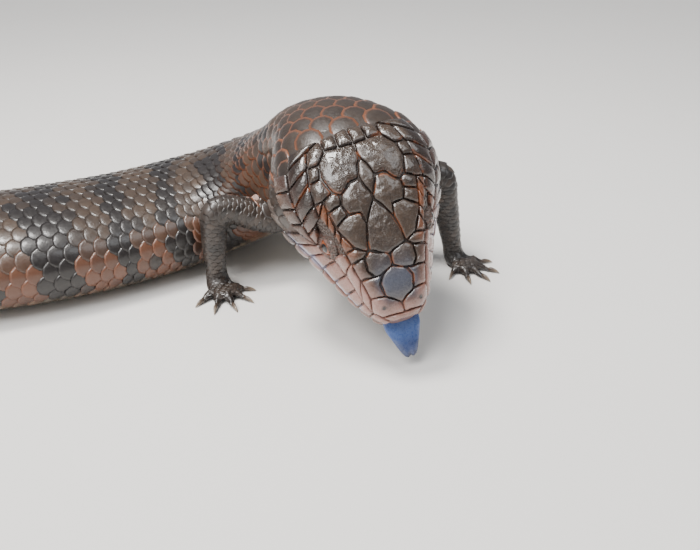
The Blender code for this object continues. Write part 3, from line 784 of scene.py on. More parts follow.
# Corner points of the head's shields on one side: behind the snout tip, round from the top.
CORNERS = {
    "a0": (0.9, 0.0), "a1": (2.5, 0.0), "a2": (5.5, 0.0), "a3": (16.6, 0.0), "a4": (20.3, 0.0),
    "a5": (37.4, 0.0), "a6": (39.0, 0.0), "a7": (49.6, 0.0), "a8": (52.6, 0.0), "a9": (57.4, 0.0),
    "b1": (3.0, 7.6), "b2": (8.4, 4.9), "b3": (12.4, 5.7), "b4": (14.9, 4.3), "b5": (14.8, 6.6),
    "b6": (17.0, 8.3), "b7": (21.2, 8.2), "b8": (22.6, 6.3), "b9": (21.2, 2.0),
    "c1": (26.2, 5.8), "c2": (30.4, 4.5), "c3": (34.2, 2.5), "c4": (34.5, 5.2), "c5": (34.9, 9.1),
    "c6": (37.0, 10.0), "c7": (38.4, 10.4), "c8": (41.6, 10.0), "c9": (43.8, 6.2),
    "d1": (24.6, 10.2), "d2": (29.8, 13.0), "d3": (32.4, 14.1), "d4": (37.3, 15.2), "d5": (41.6, 15.6),
    "d6": (44.2, 2.6), "d7": (43.0, 12.0), "d8": (46.3, 14.0), "d9": (50.3, 13.0), "d0": (53.2, 9.6),
    "e1": (9.2, 9.8), "e2": (9.0, 14.0), "e3": (5.3, 11.6), "e4": (15.2, 11.2), "e5": (14.0, 15.8),
    "e6": (20.8, 12.8), "e7": (19.2, 18.4), "e8": (24.4, 13.6), "e9": (24.6, 21.2),
    "f1": (27.2, 14.2), "f2": (30.2, 15.3), "f3": (33.4, 16.6), "f4": (37.0, 18.2), "f5": (41.4, 18.6),
    "f6": (46.0, 18.0), "f7": (50.6, 16.8), "f8": (55.0, 14.6), "f9": (56.6, 9.8),
    "g1": (26.6, 22.6), "g2": (29.6, 23.2), "g3": (32.8, 23.2), "g4": (35.6, 21.6),
    "h1": (28.0, 25.0), "h2": (31.5, 26.2), "h3": (35.2, 26.8), "h4": (38.6, 26.6), "h5": (43.2, 26.4),
    "h6": (48.0, 25.4), "h7": (52.6, 23.6), "h8": (57.0, 21.2),
    "i1": (37.0, 30.4), "i2": (41.0, 33.0), "i3": (45.6, 33.4), "i4": (50.4, 32.2), "i5": (55.2, 29.8),
    "j1": (1.0, 5.0), "m0": (57.0, 4.6), "m1": (53.0, 5.0),
}
# Corner points on the lips: at these distances behind the snout tip, on the edge of the mouth.
LIP_SEAMS = (1.0, 5.2, 9.3, 13.9, 19.4, 25.0, 30.4, 35.6, 40.4)
LIP_TOPS = ("j1", "e3", "e2", "e5", "e7", "e9", "h1", "h2", "i1")
JAW_SEAMS = (1.6, 4.6, 8.8, 13.6, 18.8, 24.4, 30.2, 36.0, 41.4)
JAW_DEPTH = (2.6, 4.2, 4.8, 5.2, 5.4, 5.4, 5.4, 5.2, 4.6)
# Shields on one side, each by its corner points in turn, its relief and its wrinkles.
SIDE_SHIELDS = (
    ("a1 b1 e3 e1 b2 a2", 0.9, 0.5),
    ("a3 b4 b5 b6 b7 b8 b9 a4", 1.0, 1.2),
    ("c1 b8 d1 d2 d3 c5 c4 c2", 1.0, 0.8),
    ("c5 d3 d4 c7 c6", 1.0, 0.6),
    ("c7 d4 d5 d7 c8", 1.0, 0.7),
    ("c3 c2 c4 c5 c6 c7 c8 c9 d6 a6 a5", 1.5, 1.0),
    ("d6 c9 c8 d7 d8 d9 d0 a8 a7", 1.0, 1.5),
    ("d7 d5 f5 f6 d8", 0.9, 0.8),
    ("d8 f6 f7 d9", 0.9, 0.8),
    ("d9 f7 f8 f9 d0", 0.9, 0.8),
    ("d0 f9 m0 m1", 0.8, 0.8),
    ("m1 m0 a9 a8", 0.8, 0.8),
    ("d1 b8 b7 e6 e8", 0.7, 0.4),
    ("d1 e8 f1 d2", 0.7, 0.3),
    ("d2 f1 f2 d3", 0.7, 0.3),
    ("d3 f2 f3 d4", 0.7, 0.3),
    ("d4 f3 f4 d5", 0.7, 0.3),
    ("d5 f4 f5", 0.7, 0.3),
    ("b2 e1 e4 b5 b4 b3", 0.7, 0.4),
    ("b5 e4 e6 b7 b6", 0.8, 0.4),
    ("e3 e2 e4 e1", 0.7, 0.4),
    ("e2 e5 e7 e6 e4", 0.8, 0.4),
    ("e6 e7 e9 g1 e8", 0.7, 0.4),
    ("e9 h1 g2 g1", 0.7, 0.3),
    ("h1 h2 g3 g2", 0.7, 0.3),
    ("h2 h3 g4 g3", 0.7, 0.3),
    ("g4 h3 h4 f5 f4", 0.9, 0.3),
    ("f5 h4 h5 f6", 1.0, 0.3),
    ("f6 h5 h6 f7", 1.0, 0.3),
    ("f7 h6 h7 f8", 1.0, 0.3),
    ("f8 h7 h8 f9", 0.9, 0.3),
    ("h3 h2 i1 i2 h4", 0.9, 0.3),
    ("h4 i2 i3 h5", 0.9, 0.3),
    ("h5 i3 i4 h6", 0.9, 0.3),
    ("h6 i4 i5 h7", 0.9, 0.3),
)
# Shields that lie across the middle, by the corner points of their left half from front to back.
MIDDLE_SHIELDS = (
    ("a0 j1 b1 a1", 0.8, 0.4),
    ("a2 b2 b3 b4 a3", 1.1, 0.5),
    ("a4 b9 b8 c1 c2 c3 a5", 1.0, 1.8),
    ("a6 d6 a7", 0.7, 0.8),
)
LIP_OVERLAP = 0.35  # how far the lip shields end before the edge of the mouth
JAW_START = 0.5  # how far the jaw shields begin behind it
JAW_SLANT = 0.4
JAW_MARGIN = 0.2  # least gap between the two sides, under the jaw


def shield_list():
    """Every shield of the head: corner points, relief, wrinkles and whether it is on the jaw."""
    shields = []
    for names, relief, rough in MIDDLE_SHIELDS:
        half = [CORNERS[n] for n in names.split()]
        other = [(t, -w) for t, w in reversed(half) if w > 0]
        shields.append((half + other, relief, rough, False))
    for side in (1, -1):
        for names, relief, rough in SIDE_SHIELDS:
            corners = [(CORNERS[n][0], side * CORNERS[n][1]) for n in names.split()]
            shields.append((corners, relief, rough, False))
        for k, (one, two) in enumerate(zip(LIP_SEAMS, LIP_SEAMS[1:])):
            edge = [(t, mouth_arc(t) - LIP_OVERLAP) for t in (one, (one + two) / 2, two)]
            corners = [CORNERS[LIP_TOPS[k]], *edge, CORNERS[LIP_TOPS[k + 1]]]
            shields.append(([(t, side * w) for t, w in corners], 0.9, 0.25, False))
        for k, (one, two) in enumerate(zip(JAW_SEAMS, JAW_SEAMS[1:])):
            drop = [MOUTH_GAPE * max(0.0, 1 - t / GAPE_END) + JAW_START for t in (one, two)]
            near = [mouth_arc(one) + drop[0], mouth_arc(two) + drop[1]]
            far = [near[0] + JAW_DEPTH[k], near[1] + JAW_DEPTH[k + 1]]
            corners = [(one, near[0]), (one + JAW_SLANT, far[0]), (two + JAW_SLANT, far[1]), (two, near[1])]
            edge = np.interp([c[0] for c in corners], MAP_T, MAP_ARC[:, -1])
            corners = [(t, side * min(w, e - JAW_MARGIN)) for (t, w), e in zip(corners, edge)]
            shields.append((corners, 0.8, 0.2, True))
    return shields


def rounded_outline(corners, spacing, rng):
    """Points round a shield, evenly spaced, its corners a little rounded and its sides a little uneven."""
    corners = np.array(corners, float)
    dense = []
    for one, two in zip(corners, np.roll(corners, -1, axis=0)):
        steps = max(2, int(np.linalg.norm(two - one) / 0.2))
        dense.extend(one + (two - one) * k / steps for k in range(steps))
    dense = np.array(dense)
    kernel = np.exp(-((np.arange(-6, 7) / 1.9) ** 2) / 2)
    kernel /= kernel.sum()
    wrapped = np.concatenate([dense[-6:], dense, dense[:6]])
    dense = np.stack([np.convolve(wrapped[:, k], kernel, "valid") for k in range(2)], axis=1)
    closed = np.concatenate([dense, dense[:1]])
    run = run_along(closed)
    count = int(np.clip(run[-1] / spacing, 14, 72))
    at = np.linspace(0, run[-1], count, endpoint=False)
    outline = np.stack([np.interp(at, run, closed[:, k]) for k in range(2)], axis=1)
    turn = np.arange(count) / count * 2 * np.pi
    sway = sum(rng.uniform(-0.05, 0.05) * np.sin(turn * k + rng.uniform(0, 6.28)) for k in (2, 3, 5, 7))
    middle = outline.mean(axis=0)
    return outline + (outline - middle) * sway[:, None] * 0.5


def shrink_outline(outline, amount):
    """The outline moved inwards by an even amount."""
    before, after = np.roll(outline, 1, axis=0), np.roll(outline, -1, axis=0)
    way = unit(after - before)
    inward = np.stack([-way[:, 1], way[:, 0]], axis=1)
    area = (outline[:, 0] * np.roll(outline[:, 1], -1) - np.roll(outline[:, 0], -1) * outline[:, 1]).sum()
    return outline + inward * amount * np.sign(area)


def shield_mesh(corners, relief, rough, spacing, number, depth):
    """One closed shield that lies on the head: vertices, faces and what its finish needs."""
    rng = np.random.default_rng(100 + number)
    outline = shrink_outline(rounded_outline(corners, spacing, rng), SUTURE)
    middle = outline.mean(axis=0)
    reach = np.linalg.norm(outline - middle, axis=1).mean()
    rings = int(np.clip(reach / spacing, 4, 12))
    edges = np.concatenate([[0.0, 0.0, 0.08, 0.24], np.linspace(0.45, reach * 0.985, rings)])
    fractions = np.clip(edges / reach, 0, 0.985)
    flat = np.concatenate([middle + (outline - middle) * (1 - f) for f in fractions] + [middle[None]])
    inset = np.concatenate([np.repeat(edges, len(outline)), [reach]])
    # The first ring is the skirt's foot, sunk into the skin.
    foot = np.zeros(len(flat), bool)
    foot[: len(outline)] = True
    turned = 1 - np.sqrt(np.clip(1 - (1 - np.clip(inset / 0.70, 0, 1)) ** 2, 0, 1))
    dome = relief * 0.55 * (1 - (1 - np.clip(inset / reach, 0, 1)) ** 2)
    t = flat[:, 0]
    u = share_round(t, flat[:, 1])
    grow = -skin_depth(t, depth)
    base = body_surface(t, u, grow)
    along = body_surface(t + 0.1, u, grow) - base
    around = body_surface(t, u + 0.001, grow) - base
    normal = unit(np.cross(around, along))
    normal *= np.sign(((base - frame_at(t)[0]) * normal).sum(axis=1))[:, None]
    lumps = rough_noise(base, 2.3, 3) * 0.20 + rough_noise(base, 1.05, 5) * 0.11
    growth = 0.07 * np.sin(2 * np.pi * inset / 1.25) * np.exp(-inset / 3.5)
    lift = SHIELD_LIFT * (1 - 0.75 * turned) + dome + (lumps + growth) * rough * ease(0.3, 1.3, inset)
    points = base + normal * np.where(foot, -0.35, lift)[:, None]
    count, total = len(outline), len(fractions)
    last = count * total
    grid = np.arange(last).reshape(total, count)
    # The underside has points of its own, so that its patch of the map is apart from the top's.
    under = last + 1 + np.arange(count)
    faces = ring_quads(grid) + fan(grid[-1], last) + [under[::-1].tolist()]
    facts = {
        "flat": np.concatenate([flat, flat[:count]]),
        "inset": np.concatenate([inset, np.zeros(count)]),
        "under": np.repeat((False, True), (last + 1, count)),
        "wrinkle": np.full(last + 1 + count, rough),
    }
    return np.concatenate([points, points[:count]]), faces, facts


def gather(pieces):
    """Joins vertices, faces and per-vertex facts of many small bodies."""
    verts, faces, facts, start = [], [], {}, 0
    for points, own_faces, own in pieces:
        verts.append(points)
        faces.extend([[i + start for i in f] for f in own_faces])
        for key, value in own.items():
            facts.setdefault(key, []).append(value)
        start += len(points)
    return np.concatenate(verts), faces, {k: np.concatenate(v) for k, v in facts.items()}


def zone_masks(t, w):
    """The head's colour zones, at distances behind the snout tip and round from the top."""
    across = np.abs(w)
    below_mouth = across - np.interp(t, MAP_T, MAP_MOUTH)
    crown_at = (0, 3, 6, 12, 20, 26, 34, 44, 58)
    crown = np.interp(t, crown_at, (0.5, 1.5, 3.5, 6.5, 10.0, 13.0, 17.5, 21.0, 22.0))
    pink = ease(-1.0, 5.5, across - crown) * (1 - 0.88 * ease(27, 40, t))
    brow = (across - np.interp(t, (22, 30, 42), (11.0, 15.0, 17.6))) / 1.8
    # painted highlight: a bluish white line along the edge of the upper lip
    lip_highlight_band = ease(-3.3, -1.9, below_mouth) * (1 - ease(0.3, 1.0, below_mouth))
    return {
        "pink": np.maximum(pink, 0.85 * (1 - ease(3.5, 7.5, t))),
        # painted sheen: blue-grey on top of the snout
        "blue": np.exp(-(((t - 12.0) / 6.0) ** 2)) * (1 - ease(5.0, 8.5, across)),
        "rust": np.exp(-(brow**2)) * ease(20, 25, t) * (1 - ease(38, 44, t)),
        "temple": ease(33, 38, t) * ease(16.5, 19.5, across) * (1 - ease(25.0, 31.0, across)),
        "cheek": ease(34, 40, t) * ease(26, 31, across),
        "below": ease(1.0, 4.0, below_mouth),
        # painted highlight along the lip edge
        "lip": lip_highlight_band * ease(5, 9, t) * (1 - ease(36, 41, t)),
    }


def build_shields(on_jaw, name, depth, spacing, seed):
    """The shields of the jaw, or all the others, as one mesh."""
    made, tints = [], []
    rng = np.random.default_rng(seed)
    for number, (corners, relief, rough, of_jaw) in enumerate(shield_list()):
        tint = rng.uniform()
        if of_jaw == on_jaw:
            piece = shield_mesh(corners, relief, rough, spacing, number, depth)
            made.append(piece)
            tints.append(np.full(len(piece[0]), tint))
    verts, faces, facts = gather(made)
    mesh = outward(new_mesh(name, verts, faces))
    t, w = facts["flat"].T
    nostril = np.hypot(t - NOSTRIL[0], np.abs(w) - NOSTRIL[1])
    put_all(mesh, zone_masks(t, w))
    put_all(mesh, {"tint": np.concatenate(tints), "inset": facts["inset"], "wrinkle": facts["wrinkle"]})
    # mask of painted shade: the nostrils are darkened, not cut open
    put(mesh, "hollow", 1 - ease(0.35, 0.85, nostril))
    store_patches(mesh, t, w, facts["under"])
    return mesh


def clear_of(places, corners, gap):
    """True for places outside a polygon by more than the gap."""
    inside = np.zeros(len(places), bool)
    nearest = np.full(len(places), 1e9)
    corners = np.array(corners, float)
    for a, b in zip(corners, np.roll(corners, -1, axis=0)):
        rise = b[1] - a[1] if b[1] != a[1] else 1e-9
        crosses = (a[1] > places[:, 1]) != (b[1] > places[:, 1])
        inside ^= crosses & (places[:, 0] < a[0] + (places[:, 1] - a[1]) * (b[0] - a[0]) / rise)
        share = np.clip(((places - a) @ (b - a)) / ((b - a) @ (b - a)), 0, 1)
        nearest = np.minimum(nearest, np.linalg.norm(places - a - share[:, None] * (b - a), axis=1))
    return ~inside & (nearest > gap)


def off_shields(s, u, gap):
    """True for places on the head that no shield comes near."""
    places = np.stack([s, [arc_round(t, v) for t, v in zip(s, u)]], axis=1)
    clear = np.ones(len(places), bool)
    for corners, *_ in shield_list():
        if max(w for t, w in corners) > 0:
            clear &= clear_of(places, corners, gap)
    return clear, places[:, 1]


def store_patches(mesh, t, w, under):
    """The bake's map: an unrolled head, with the undersides in a narrow strip of their own."""
    low_w, high_w = w.min() - 1, w.max() + 1
    low_t, high_t = t.min() - 1, t.max() + 1
    across = (w - low_w) / (high_w - low_w)
    along = 0.06 + 0.94 * (t - low_t) / (high_t - low_t)
    along = np.where(under, 0.05 * (t - low_t) / (high_t - low_t), along)
    loops = np.empty(len(mesh.loops), np.int32)
    mesh.loops.foreach_get("vertex_index", loops)
    layer = mesh.uv_layers.new(name="OFBake")
    layer.data.foreach_set("uv", np.stack([across, along], axis=1)[loops].astype(np.float32).ravel())


def plate(name, sides):
    """One scale, one long and one wide, lying flat with its free edge towards +X and its heights in rise."""
    turn = np.arange(sides) / sides * 2 * np.pi
    cos, sin = np.cos(turn), np.sin(turn)
    blunt = np.where(cos > 0, 2.2, 3.2)
    size = (np.abs(cos) ** blunt + np.abs(sin) ** blunt) ** (-1 / blunt)
    edge = np.stack([cos, sin], axis=1) * size[:, None] * 0.5
    shares = (1.0, 0.80, 0.42)
    flat = np.concatenate([edge * share for share in shares] + [np.zeros((1, 2))])
    away = np.append(np.repeat(shares, sides), 0.0)
    back = flat[:, 0] + 0.5
    top = -0.35 + 1.25 * back - 0.55 * flat[:, 1] ** 2 + 0.10 * (1 - away**2)
    top = top - np.where(away > 0.99, 0.13, 0.0)
    foot = top[:sides] - 0.20
    grid = np.arange(sides * 3).reshape(3, sides)
    side = len(flat) + np.arange(sides)
    faces = ring_quads(grid) + fan(grid[2], sides * 3) + ring_quads(np.stack([side, grid[0]]))
    faces.append((side + sides)[::-1].tolist())
    mesh = bpy.data.meshes.new(name)
    points = np.concatenate([flat, edge, edge])
    mesh.from_pydata([(x * MM, y * MM, 0.0) for x, y in points], [], faces)
    # Its cell of the bake's map holds the top and the rim, and a narrow strip for the underside.
    above = np.concatenate([flat * 0.80, edge * 0.86]) + (0.0, 0.06)
    patch = np.concatenate([above, edge * (0.5, 0.06) - (0.0, 0.45)])
    put(mesh, "rise", np.concatenate([top, foot, foot]))
    put(mesh, "margin", np.concatenate([away, np.ones(2 * sides)]))
    put(mesh, "patch", np.column_stack([patch[:, 1], patch[:, 0], np.zeros(len(patch))]))
    made = new_object(name, mesh)
    made.hide_render = True
    return made


def markings(points, s, u, limb):
    """Dark bands, rusty scales between them, the pale belly and the dark limbs, at places on the body."""
    across = np.abs(from_top(u))
    sway = 0.16 * wavy(points, 60.0, 11) + 0.10 * wavy(points, 18.0, 12)
    turn = s / np.interp(s, (90, 320, 540), (30.0, 27.0, 20.0)) + sway
    band = ease(-0.15, 0.45, np.cos(2 * np.pi * turn) + 0.25 * wavy(points, 9.0, 13))
    band = np.maximum(band * ease(58, 84, s), 0.55 * (1 - ease(60, 90, s)))
    belly = ease(0, 0.05, across - np.interp(s, (95, 160), (0.40, 0.335))) * (1 - limb)
    rust = ease(0.15, 0.24, across) * (1 - band) * (1 - belly) * ease(85, 150, s)
    rim = np.maximum(0.5 * rust, ease(50, 56, s) * (1 - ease(95, 150, s)) * (1 - belly))
    band = np.where(limb > 0.5, 0.55 + 0.4 * wavy(points, 7.0, 14), band)
    return {
        "band": np.clip(band, 0, 1),
        "belly": belly,
        "rust": np.clip(rust * (1 - 0.6 * limb), 0, 1),
        "rim": rim * (1 - limb),
        "limb": limb,
    }


def body_seeds(start, end, accept=None):
    """Roots of overlapping scales on the long body: in rings, every other one shifted by half a scale."""
    rows = []
    s, number = start, 0
    around = np.arange(145) / 144
    while s < end:
        step = float(trunk_step(s))
        run = run_along(body_surface(np.full(len(around), s), around))
        count = max(4, int(round(run[-1] / (2 * trunk_row(s)))))
        places = np.interp((np.arange(count) + 0.5 * (number % 2)) / count * run[-1], run, around)
        rows += [(s, place, step, run[-1] / count, k / count, 1 / count) for k, place in enumerate(places)]
        s, number = s + step, number + 1
    rows = np.array(rows)
    if accept is not None:
        rows = rows[accept(rows[:, 0], from_top(rows[:, 1]))]
    s, u, step, width, turn, share = rows.T
    here = body_surface(s, u)
    length = end - start + 3
    return {
        "points": here,
        "lie": unit(body_surface(s + 0.6, u) - here),
        "length": step * 4.0,
        "width": width * 0.80,
        "root": np.stack([turn % 1.0, (s - start + 1) / length], axis=1),
        "cell": np.stack([share * 0.95, step / length * 0.95], axis=1),
        "along": s,
        "around": u,
        "limb": np.zeros(len(s)),
    }


def joined_seeds(groups):
    return {key: np.concatenate([g[key] for g in groups]) for key in groups[0]}


def ring_seeds(rings, step, count, wide, slot, raised, first=0):
    """Roots of scales on a limb, palm or digit, given as rings of points from its root outwards."""
    run = run_along(rings.mean(axis=1))
    girth = np.linalg.norm(np.roll(rings, -1, axis=1) - rings, axis=2).sum(axis=1)
    sides = rings.shape[1]

    def ring_at(place):
        return np.stack([[np.interp(place, run, rings[:, k, c]) for c in range(3)] for k in range(sides)])

    found = []
    for number, place in enumerate(np.arange(first * step + 0.4 * step, run[-1], step)):
        near = min(place + 0.4, run[-1]) - 0.4
        way = ring_at(near + 0.4) - ring_at(near)
        at = (np.arange(count) + 0.5 * (number % 2)) / count
        turn = at * sides
        low = np.floor(turn).astype(int) % sides
        share = (turn - np.floor(turn))[:, None]
        points, lie = (v[low] * (1 - share) + v[(low + 1) % sides] * share for v in (ring_at(place), way))
        across = (slot + 0.02 + 0.96 * (at % 1.0)) / LIMB_SLOTS
        cell = (0.9 / count / LIMB_SLOTS, 0.9 * step / (run[-1] + 3))
        found.append({
            "points": points,
            "lie": unit(lie),
            "length": np.full(count, step * 3.4),
            "width": np.full(count, np.interp(place, run, girth) / count * wide),
            "root": np.stack([across, np.full(count, (place + 1) / (run[-1] + 3))], axis=1),
            "cell": np.tile(cell, (count, 1)),
            "along": np.full(count, place),
            "around": at,
            "limb": np.ones(count),
            "raise": np.full(count, raised),
        })
    return joined_seeds(found)


def on_skin(seeds, tree, reach, off_body, least=-1.0, most=1000.0):
    """Puts seeds on the skin, and leaves out those too far from it, or too near to or far off the body."""
    keep, places, normals, off = [], [], [], []
    for number, point in enumerate(seeds["points"].tolist()):
        place, normal, face, distance = tree.find_nearest(Vector(metres(point)))
        if distance < reach * MM and least < off_body[face] < most:
            keep.append(number)
            places.append(place[:])
            normals.append(normal[:])
            off.append(off_body[face])
    kept = {key: value[keep] for key, value in seeds.items()}
    kept["points"] = np.array(places) / MM - SHIFT
    kept["outward"] = np.array(normals)
    kept["off"] = np.array(off)
    return kept


class Nodes:
    """A node tree and short ways to build it."""

    def __init__(self, tree):
        self.tree = tree

    def node(self, kind, inputs=(), **settings):
        """A new node with these settings, and with sockets or values for its inputs."""
        made = self.tree.nodes.new(kind)
        for title, value in settings.items():
            setattr(made, title, value)
        for title, source in dict(inputs).items():
            self.join(source, made.inputs[title])
        return made

    def join(self, source, socket):
        """Links a socket to another one, or gives it a value or a colour."""
        if isinstance(source, bpy.types.NodeSocket):
            self.tree.links.new(source, socket)
        elif isinstance(source, (int, float, str)):
            socket.default_value = source
        else:
            socket.default_value = (*tuple(source)[:3], 1.0)

    def sum(self, operation, *terms, clamp=False):
        return self.node("ShaderNodeMath", enumerate(terms), operation=operation, use_clamp=clamp).outputs[0]

    def times(self, one, two, clamp=False):
        return self.sum("MULTIPLY", one, two, clamp=clamp)

    def plus(self, one, two, clamp=False):
        return self.sum("ADD", one, two, clamp=clamp)

    def mixed(self, share, one, two):
        return self.node("ShaderNodeMix", {0: share, 6: one, 7: two}, data_type="RGBA").outputs[2]


SCALE_INPUTS = (
    ("Geometry", "Geometry", None, None), ("Plate", "Object", None, None), ("Skin", "Object", None, None),
    ("Lift", "Float", 1.1 * MM, "DISTANCE"), ("Size spread", "Float", 0.06, "FACTOR"),
    ("Seed", "Int", 7, None), ("Finish", "Material", None, None),
)
SPARE_VALUES = ("rise", "patch", "cell", "root", "lie", "outward", "size", "lift")


def scale_tree():
    """Sets a scale on every seed, lays it along the skin, raises its free edge and stores its patch."""
    tree = bpy.data.node_groups.new("overlapping_scales", "GeometryNodeTree")
    tree.is_modifier = True
    for title, kind, value, subtype in SCALE_INPUTS:
        socket = tree.interface.new_socket(title, in_out="INPUT", socket_type="NodeSocket" + kind)
        if value is not None:
            socket.default_value = value
        if subtype is not None:
            socket.subtype = subtype
    tree.interface.new_socket("Geometry", in_out="OUTPUT", socket_type="NodeSocketGeometry")
    nodes = Nodes(tree)
    given = nodes.node("NodeGroupInput").outputs

    def attribute(name, kind="FLOAT_VECTOR"):
        found = nodes.node("GeometryNodeInputNamedAttribute", {"Name": name}, data_type=kind)
        return found.outputs["Attribute"]

    def vector(operation, *terms):
        return nodes.node("ShaderNodeVectorMath", enumerate(terms), operation=operation).outputs["Vector"]

    def scaled(one, share):
        made = nodes.node("ShaderNodeVectorMath", {0: one, "Scale": share}, operation="SCALE")
        return made.outputs["Vector"]

    def shaped(kind, before, inputs=(), **settings):
        """A node that changes the geometry, and the geometry that it gives."""
        inputs = {"Geometry": before, **dict(inputs)}
        return nodes.node(kind, inputs, **settings).outputs["Geometry"]

    skin = nodes.node("GeometryNodeObjectInfo", {"Object": given["Skin"]}).outputs["Geometry"]
    shape = nodes.node("GeometryNodeObjectInfo", {"Object": given["Plate"], "As Instance": True})
    axes = {"Primary Axis": attribute("outward"), "Secondary Axis": attribute("lie")}
    turn = nodes.node("FunctionNodeAxesToRotation", axes, primary_axis="Z", secondary_axis="X")
    spread = nodes.node("FunctionNodeRandomValue", {"Seed": given["Seed"]}, data_type="FLOAT")
    ends = [s for s in spread.inputs if s.type == "VALUE" and s.enabled]
    nodes.join(nodes.sum("SUBTRACT", 1.0, given["Size spread"]), ends[0])
    nodes.join(nodes.plus(1.0, given["Size spread"]), ends[1])
    share = next(s for s in spread.outputs if s.type == "VALUE")
    placed = nodes.node("GeometryNodeInstanceOnPoints", {
        "Points": given["Geometry"],
        "Instance": shape.outputs["Geometry"],
        "Rotation": turn.outputs["Rotation"],
        "Scale": scaled(attribute("size"), share),
    })
    made = shaped("GeometryNodeRealizeInstances", placed.outputs["Instances"])

    def nearest(source):
        kind = "GeometryNodeSampleNearestSurface"
        return nodes.node(kind, {"Mesh": skin, "Value": source}, data_type="FLOAT_VECTOR").outputs["Value"]

    foot = nearest(nodes.node("GeometryNodeInputPosition").outputs["Position"])
    lift = nodes.times(attribute("lift", "FLOAT"), given["Lift"])
    height = nodes.times(attribute("rise", "FLOAT"), lift)
    raised = vector("ADD", foot, scaled(nearest(attribute("outward")), height))
    parts = nodes.node("ShaderNodeSeparateXYZ", {0: raised}).outputs
    high = nodes.sum("MAXIMUM", parts["Z"], LEAST_HEIGHT * MM)
    place = nodes.node("ShaderNodeCombineXYZ", {"X": parts["X"], "Y": parts["Y"], "Z": high}).outputs[0]
    made = shaped("GeometryNodeSetPosition", made, {"Position": place})
    spot = vector("ADD", attribute("root"), vector("MULTIPLY", attribute("patch"), attribute("cell")))
    patch = {"Name": "OFBake", "Value": spot}
    made = shaped("GeometryNodeStoreNamedAttribute", made, patch, data_type="FLOAT2", domain="CORNER")
    made = shaped("GeometryNodeSetShadeSmooth", made)
    made = shaped("GeometryNodeSetMaterial", made, {"Material": given["Finish"]})
    nodes.node("NodeGroupOutput", {"Geometry": made})
    return tree


def grown_scales(name, seeds, shape, skin, finish, lift, seed, masks):
    """One mesh of scales, grown from the seeds by the geometry nodes."""
    count = len(seeds["points"])
    rng = np.random.default_rng(seed)
    mesh = bpy.data.meshes.new(name)
    mesh.from_pydata(metres(seeds["points"]).tolist(), [], [])
    put_all(mesh, {key: seeds[key] for key in ("outward", "lie")})
    put_all(mesh, {key: np.column_stack([seeds[key], np.zeros(count)]) for key in ("root", "cell")})
    put(mesh, "size", np.stack([seeds["length"], seeds["width"], np.ones(count)], axis=1))
    put(mesh, "lift", seeds["raise"])
    put(mesh, "tint", rng.uniform(size=count))
    put_all(mesh, masks)
    holder = new_object(name, mesh)
    grow = holder.modifiers.new("scales", "NODES")
    grow.node_group = bpy.data.node_groups.get("overlapping_scales") or scale_tree()
    wanted = {"Plate": shape, "Skin": skin, "Lift": lift * MM, "Seed": seed, "Finish": finish}
    for socket in grow.node_group.interface.items_tree:
        if socket.name in wanted:
            grow[socket.identifier] = wanted[socket.name]
    made = baked_copy(holder, name)
    for title in SPARE_VALUES:
        layer = made.attributes.get(title)
        if layer is not None:
            made.attributes.remove(layer)
    bpy.data.objects.remove(shape)
    return made


def eyeball_mesh(name, side):
    """An eyeball with a raised clear front, and how far round from its gaze each point lies."""
    middle, look, front, top = eye_frame(side)
    angle = np.radians(np.concatenate([np.linspace(0, 60, 31), np.linspace(66, 180, 20)]))
    turn = np.arange(64) / 64 * 2 * np.pi
    bulge = 0.35 * np.exp(-((np.degrees(angle) / 24) ** 2))
    beside = np.outer(np.cos(turn), front) + np.outer(np.sin(turn), top)
    radius = EYE_RADIUS - 0.05 + bulge
    rings = [middle + r * (np.cos(a) * look + np.sin(a) * beside) for a, r in zip(angle, radius)]
    verts, faces = loft_arrays([np.array(rings[1:-1])])
    verts[-2] = middle + look * radius[0]
    verts[-1] = middle - look * EYE_RADIUS
    mesh = outward(new_mesh(name, verts, faces))
    away = unit(verts - middle)
    put(mesh, "gaze", np.degrees(np.arccos(np.clip(away @ look, -1, 1))))
    put(mesh, "turned", np.arctan2(away @ top, away @ front))
    return mesh


def tongue_mesh(name):
    """The broad soft tongue, with a shallow furrow, a notched tip and a slight wave at its edges."""
    sides, steps = 48, 72
    end = len(TONGUE) - 1
    at = np.concatenate([np.linspace(0, end - 0.02, steps), end + np.array([-0.005, 0.0])])
    rows = through(range(end + 1), TONGUE, at)
    closing = np.sqrt(np.clip(1 - (np.clip(at - (end - 0.55), 0, None) / 0.552) ** 2, 0.02, 1))
    turn = np.arange(sides) / sides * 2 * np.pi
    rings, lengths, across = [], [], []
    for (ahead, above, wide, thick), shut in zip(rows, closing):
        side = np.sin(turn) * wide * shut
        rise = np.cos(turn) * thick * (0.45 + 0.55 * shut)
        rise -= 0.30 * np.exp(-((side / 0.9) ** 2)) * (np.cos(turn) > 0) * ease(-2, 3, ahead)
        rise += 0.16 * np.sin(ahead * 0.9 + 0.5) * (side / 5.0) ** 2 * np.sign(side + 1e-6)
        notch = 0.9 * np.exp(-((side / 0.45) ** 2)) * ease(9.5, 11.8, ahead)
        ring = np.array([head_point(ahead - n, y, above + z) for y, z, n in zip(side, rise, notch)])
        rings.append(ring)
        lengths.append(np.full(sides, ahead))
        across.append(side)
    verts, faces = loft_arrays([np.array(rings)])
    mesh = outward(new_mesh(name, verts, faces))
    put(mesh, "out", np.concatenate([*lengths, [TONGUE[0][0], TONGUE[-1][0]]]))
    put(mesh, "aside", np.concatenate([*across, [0.0, 0.0]]))
    return mesh


